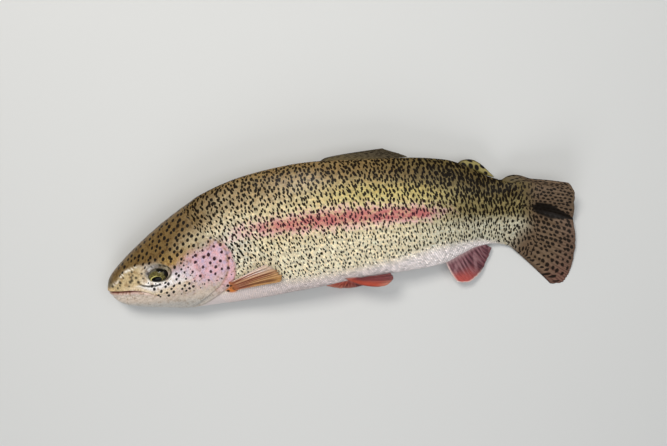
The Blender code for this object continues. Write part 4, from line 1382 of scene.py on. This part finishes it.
def analTone(q, v, ridge):
    uneven = 0.5 + 0.5 * np.sin(q * 34 + 4.5 * np.sin(q * 15 + 2.6 * v))
    dark = 0.8 * uneven * ramp(0.1, 0.6, ridge) * ramp(0.08, 0.3, v) * ramp(0.15, 0.45, q)
    red = ramp(0.55, 0.15, q) * ramp(0.40, 0.8, v)
    return layered(
        rayTone(analFin, q, v, ridge),
        (analFin["darkStreak"], dark),
        (analFin["paleStreak"], 0.35 * ramp(0.45, 0.1, uneven) * ramp(0.1, 0.3, v) * ramp(1.0, 0.7, v)),
        (analFin["rearHalf"], 0.4 * ramp(0.5, 0.95, q) * ramp(0.2, 0.6, v)),
        (analFin["redTip"], 0.85 * red),
        (analFin["whiteEdge"], ramp(0.94, 1.0, v) * ramp(0.6, 0.4, q) + 0.7 * ramp(0.05, 0.0, q)),
    )


def makeAnalFin():
    q, v = grid(analFin)
    rootS = fromTo(analFin["rootAt"], q[0])
    _, tail, back, _ = frameAt(rootS)
    base = onBody(rootS, 180.0) + back * 0.8 * mm
    angle, bend = fromTo(analFin["angle"], q[0]), analFin["bend"] + 0 * q[0]
    sheet = bentRays(base, -back, tail, angle, bend, smoothCurve(analFin["length"], q[0]) + 0.9, len(v))
    return makeFin("anal_finFine", analFin, analTone, q, v, sheet)


pectoralFin = {
    "grid": (163, 64), "rays": 9, "relief": 0.30, "pleat": 0.35, "fringe": 3.2, "joints": 70.0,
    "edge": 14.0, "reach": 50.0, "half": (0.18, 0.7, 2),
    "marks": lambda q, v: 0.9 * ramp(0.14, 0.04, v) + 0 * q,
    # where the root is along the body, its turn from front to rear ray and how much the tips turn on
    "left": {"rootAt": 113.6, "turn": (117, 129), "swing": (-10, 2)},
    "right": {"rootAt": 121.5, "turn": (141, 145), "swing": (4, 16)},
    "stops": [(0, sRGB(186, 116, 66)), (0.16, sRGB(150, 84, 60)), (0.6, sRGB(164, 98, 70)),
              (1.0, sRGB(196, 158, 112))],
    "ray": sRGB(128, 66, 46),
    "goldRear": sRGB(182, 136, 78),
    "darkStreak": sRGB(88, 44, 30),
    "paleStreak": sRGB(214, 172, 128),
    "rayGlints": sRGB(238, 222, 210),
    "whiteEdge": sRGB(238, 214, 202),
}


def pectoralTone(q, v, ridge):
    streak = np.sin(q * 41 + 2.6 * np.sin(q * 11 + 0.8 * v))
    along = ramp(0.06, 0.2, v)
    return layered(
        rayTone(pectoralFin, q, v, ridge),
        (pectoralFin["goldRear"], 0.8 * ramp(0.35, 0.75, q) * ramp(0.25, 0.55, v)),
        (pectoralFin["darkStreak"], 0.75 * ramp(0.1, 0.8, streak) * along * ramp(1.0, 0.8, v)),
        (pectoralFin["paleStreak"], 0.55 * ramp(-0.3, -0.9, streak) * along),
        # painted glints on the rays near the leading edge, and a painted highlight along that edge
        (pectoralFin["rayGlints"], 0.9 * ramp(0.5, 0.9, ridge) * ramp(0.25, 0.5, v) * ramp(0.4, 0.15, q)),
        (pectoralFin["whiteEdge"], 0.9 * ramp(0.06, 0.0, q) * ramp(0.05, 0.2, v)),
    )


def makePectoralFin(side):
    q, v = grid(pectoralFin)
    plan = pectoralFin[sides[side]]
    if side > 0:  # the upper one stands a little open
        reach = 38 + 17 * np.sin(math.pi * (0.10 + 0.62 * q))
        stand = 5 * (1 - q) ** 1.5 + 1.45
    else:  # the lower one is folded in under the belly
        reach = 50 - 18 * q
        stand = 1.2 + 0 * q
    turn = fromTo(plan["turn"], q) + v * fromTo(plan["swing"], q)
    out = 1.2 + v * stand - 2.2 * ramp(0.10, 0.0, v)
    sheet = onBody(plan["rootAt"] + v * reach, side * turn, out)
    return makeFin("pectoral_fin_" + sides[side] + "Fine", pectoralFin, pectoralTone, q, v, sheet)


dorsalFin = {
    "grid": (157, 56), "rays": 13, "relief": 0.26, "pleat": 0.25, "fringe": 0.8, "joints": 60.0,
    "edge": 10.0, "reach": 55.0, "half": (0.20, 0.6, 1.5),
    "rootAt": (219, 267),
    "sweep": (55, 29),  # how far back the front and rear rays lie
    "height": 7.9,  # of the folded fin over the back
    "marks": lambda q, v: ramp(0.97, 0.88, v) * ramp(0.0, 0.2, v) + 0 * q,
    "stops": [(0, sRGB(98, 84, 54)), (0.5, sRGB(76, 67, 50)), (0.85, sRGB(56, 49, 38)),
              (1.0, sRGB(34, 28, 22))],
    "ray": sRGB(110, 98, 76),
    "front": (0.12, 0.9, sRGB(28, 23, 18)),  # width, strength and colour of the dark front edge
}


def dorsalTone(q, v, ridge):
    return rayTone(dorsalFin, q, v, ridge)


def makeDorsalFin():
    q, v = grid(dorsalFin)
    s = fromTo(dorsalFin["rootAt"], q) + v * fromTo(dorsalFin["sweep"], q**0.8)
    rise = dorsalFin["height"] * (1 - q) ** 0.75 * v**0.55
    out = rise + 1.3 * v - 0.8 * q - 1.4 * ramp(0.12, 0.0, v)
    return makeFin("dorsal_finFine", dorsalFin, dorsalTone, q, v, onBody(s, 0.0, out))


adiposeFin = {
    "grid": (64, 90), "rays": 0, "relief": 0.0, "pleat": 0.0, "fringe": 0.0, "joints": 0.0,
    "edge": 7.0, "reach": 24.0, "half": (0.45, 0.9, 1),
    "rootAt": (339, 352),
    "sweep": (34, 18),
    "height": 8.0,
    "ground": sRGB(146, 134, 84),
    "root": sRGB(86, 76, 38),
    "frontEdge": sRGB(70, 60, 34),
    # places along and out, half lengths and heights of its dark blotches
    "blotches": [(350.5, 2.2, 2.2, 2.4), (355.6, 3.2, 2.2, 2.6), (344.6, 1.0, 2.2, 1.6),
                 (348.7, 6.6, 3.0, 1.4), (360.6, 6.4, 2.6, 1.5), (364.5, 2.2, 2.0, 1.5)],
}


def adiposePlace(q, v):
    s = fromTo(adiposeFin["rootAt"], q) + v * fromTo(adiposeFin["sweep"], q)
    rise = (1 - q) * adiposeFin["height"] * np.sin(math.pi * v**0.85)
    return s, rise + 1.2 * v - 0.8 * q - 1.0 * ramp(0.1, 0.0, v)


def adiposeTone(q, v, ridge):
    s, out = adiposePlace(q, v)
    tone = layered(
        np.zeros(ridge.shape + (3,)) + adiposeFin["ground"],
        (adiposeFin["root"], ramp(2.5, 0.0, out)),
        (adiposeFin["frontEdge"], 0.85 * ramp(0.16, 0.04, q)),
    )
    for sAt, outAt, halfLong, halfHigh in adiposeFin["blotches"]:
        reach = np.hypot((s - sAt) / halfLong, (out - outAt) / halfHigh)
        tone = layered(tone, ("ink", ramp(1.15, 0.8, reach)))
    return tone


def makeAdiposeFin():
    q, v = grid(adiposeFin)
    s, out = adiposePlace(q, v)
    tipHalf, rootHalf, _ = adiposeFin["half"]
    half = tipHalf + rootHalf * (1 - v) * (0.4 + 0.6 * q)
    return makeFin("adipose_finFine", adiposeFin, adiposeTone, q, v, onBody(s, 0.0, out), half)


def makeFins():
    spotted = makeFinMaterial("tailWeb", finSpots["tail"], 0.34, dashed=True, coat=0.12)
    redWeb = makeFinMaterial("redWeb", finSpots["lobe"], 0.28)
    orangeWeb = makeFinMaterial("orangeWeb", finSpots["lobe"], 0.26)
    oliveWeb = makeFinMaterial("oliveWeb", finSpots["lobe"], 0.38, coat=0.06)
    fins = [(makeTailFin(), spotted, "tail_fin"), (makeAnalFin(), redWeb, "red_fin"),
            (makeDorsalFin(), oliveWeb, "back_skin"), (makeAdiposeFin(), oliveWeb, "back_skin")]
    for side in sides:
        fins.append((makePelvicFin(side), redWeb, "red_fin"))
        fins.append((makePectoralFin(side), orangeWeb, "orange_fin"))
    for fin, finish, slot in fins:
        fin.data.materials.append(finish)
        print(fin.name, len(fin.data.polygons), "faces")


makeFins()

eyePlan = {
    "along": 57.0, "rise": 6.0, "proud": 1.3,
    "half": (10.4, 6.9, 5.8),  # tailward, towards the belly and outward
    "lean": 5.0,  # how far the rear end hangs towards the belly, degrees
    "lens": 0.07,  # how far the middle of the eye bulges, as a share of its outward half
    "segments": 96, "rings": 64,
    # ovals: middle tailward and towards the belly, half sizes and lean
    "pupil": (-2.0, 2.9, 5.0, 3.1),
    "iris": (-0.8, 0.6, 7.8, 5.4),
    "blotAbove": (3.6, -4.3, 3.8, 1.5, 0.35),
    "blotBehind": (7.8, 0.2, 1.9, 4.0),
    "rim": (0, 0, 9.9, 6.6),
    "tones": {
        "ballShade": (46, 39, 32), "ballHigh": (98, 93, 82), "olive": (86, 79, 46), "gold": (134, 123, 72),
        "brown": (50, 44, 22), "above": (16, 14, 10), "behind": (20, 17, 13), "ring": (196, 186, 112),
        "rim": (8, 7, 6),
    },
}


def makeEye(side, name):
    s = eyePlan["along"]
    depth = float(smoothCurve(body["halfDepth"], s))
    turn = side * math.degrees(math.acos(eyePlan["rise"] / depth))
    halfX, halfY, halfOut = eyePlan["half"]
    centre = onBody(s, turn, eyePlan["proud"] - halfOut)
    outward = onBody(s, turn, 1.0) - onBody(s, turn, 0.0)
    outward /= np.linalg.norm(outward)
    _, tail, _, _ = frameAt(s)
    level = tail - outward * (tail @ outward)
    level /= np.linalg.norm(level)
    plumb = np.cross(level, outward) * side
    lean = math.radians(eyePlan["lean"])
    along = level * math.cos(lean) + plumb * math.sin(lean)
    down = plumb * math.cos(lean) - level * math.sin(lean)
    eye = newPiece(name, bpy.ops.mesh.primitive_uv_sphere_add, segments=eyePlan["segments"],
                   ring_count=eyePlan["rings"], radius=1)
    x, y, out = np.array([vertex.co for vertex in eye.data.vertices]).T
    pupilX, pupilY, pupilHalfX, pupilHalfY = eyePlan["pupil"]
    lens = np.hypot((x * halfX - pupilX) / pupilHalfX, (y * halfY - pupilY) / pupilHalfY)
    bulge = out + np.where(out > 0, eyePlan["lens"] * bump(lens, 1.5), 0)
    flat = x[:, None] * along * halfX + y[:, None] * down * halfY
    points = centre + (flat + bulge[:, None] * outward * halfOut) * mm
    layPoints(eye.data, points)
    storeMap(eye.data, "eyeMap", np.stack([x * halfX, y * halfY], axis=-1) * mm)

    inEditMode(eye, turnOut)
    bpy.ops.object.shade_smooth()
    return eye


def makeEyeMaterial():
    material, tree = newMaterial("wetEye")
    eyeMap = uvMap(tree, "eyeMap")
    part = parts(tree, eyeMap)

    def oval(x, y, halfX, halfY, lean=0.0):
        dx = sums(tree, "SUBTRACT", part[0], x * mm)
        dy = sums(tree, "SUBTRACT", part[1], y * mm)
        if lean:
            dy = sums(tree, "MULTIPLY_ADD", dx, -lean, dy)
        dx = sums(tree, "DIVIDE", dx, halfX * mm)
        dy = sums(tree, "DIVIDE", dy, halfY * mm)
        return ovalReach(tree, dx, dy)

    def toneOf(name):
        return (*sRGB(*eyePlan["tones"][name]), 1)

    def layer(colour, mask, name):
        return mixColour(tree, mask, colour, toneOf(name))

    grain = noise(tree, eyeMap, 900.0, 4.0, 0.7, flat=False)
    fleck = grain["Fac"]
    tint = node(tree, "ShaderNodeSeparateColor", {0: grain["Color"]}).outputs[1]
    rough = sums(tree, "MULTIPLY_ADD", fleck, 0.8, -0.4)
    # the ball: painted shade below and behind, grey above; the iris: olive and gold flecks round the pupil
    upper = rampNode(tree, part[1], 1.5 * mm, -3.0 * mm)
    colour = mixColour(tree, upper, toneOf("ballShade"), toneOf("ballHigh"))
    iris = sums(tree, "ADD", oval(*eyePlan["iris"]), rough)
    colour = layer(colour, rampNode(tree, iris, 1.12, 0.94), "olive")
    gold = product(tree, rampNode(tree, tint, 0.52, 0.62), rampNode(tree, iris, 1.1, 0.9))
    colour = layer(colour, gold, "gold")
    colour = layer(colour, rampNode(tree, fleck, 0.52, 0.64), "brown")
    for place, name in (("blotAbove", "above"), ("blotBehind", "behind")):
        blot = sums(tree, "ADD", oval(*eyePlan[place]), rough)
        colour = layer(colour, rampNode(tree, blot, 1.15, 0.75), name)
    # a pale ring round the pupil, widest in front, and painted shade along the rim below
    pupil = oval(*eyePlan["pupil"])
    front = rampNode(tree, part[0], 1.5 * mm, -2.5 * mm)
    wide = sums(tree, "MULTIPLY_ADD", front, 0.14, 1.06)
    thin = rampNode(tree, sums(tree, "SUBTRACT", pupil, wide), 0.10, 0.0)
    low = rampNode(tree, part[1], 4.2 * mm, 2.2 * mm)
    ring = product(tree, thin, product(tree, low, sums(tree, "MULTIPLY_ADD", front, 0.6, 0.4)))
    colour = layer(colour, ring, "ring")
    outer = rampNode(tree, oval(*eyePlan["rim"]), 0.86, 0.92)
    below = sums(tree, "ADD", part[1], product(tree, part[0], 0.5))
    colour = layer(colour, product(tree, outer, rampNode(tree, below, 0.5 * mm, 2.0 * mm)), "rim")
    colour = mixColour(tree, rampNode(tree, pupil, 1.04, 0.96), colour, (0.002, 0.002, 0.002, 1))
    return finishMaterial(material, colour, (fleck, 0.1, 0.0002), {
        "Roughness": 0.22,
        "Coat Weight": 1.0,
        "Coat IOR": 1.2,
        "Coat Roughness": 0.03,
        "Specular IOR Level": 0.0,
    })


eyeFinish = makeEyeMaterial()
for side, word in sides.items():
    eye = makeEye(side, "eyeball_" + word)
    eye.data.materials.append(eyeFinish)
    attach(eye, "root")
    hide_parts("eye_" + word)
print("eyes made")
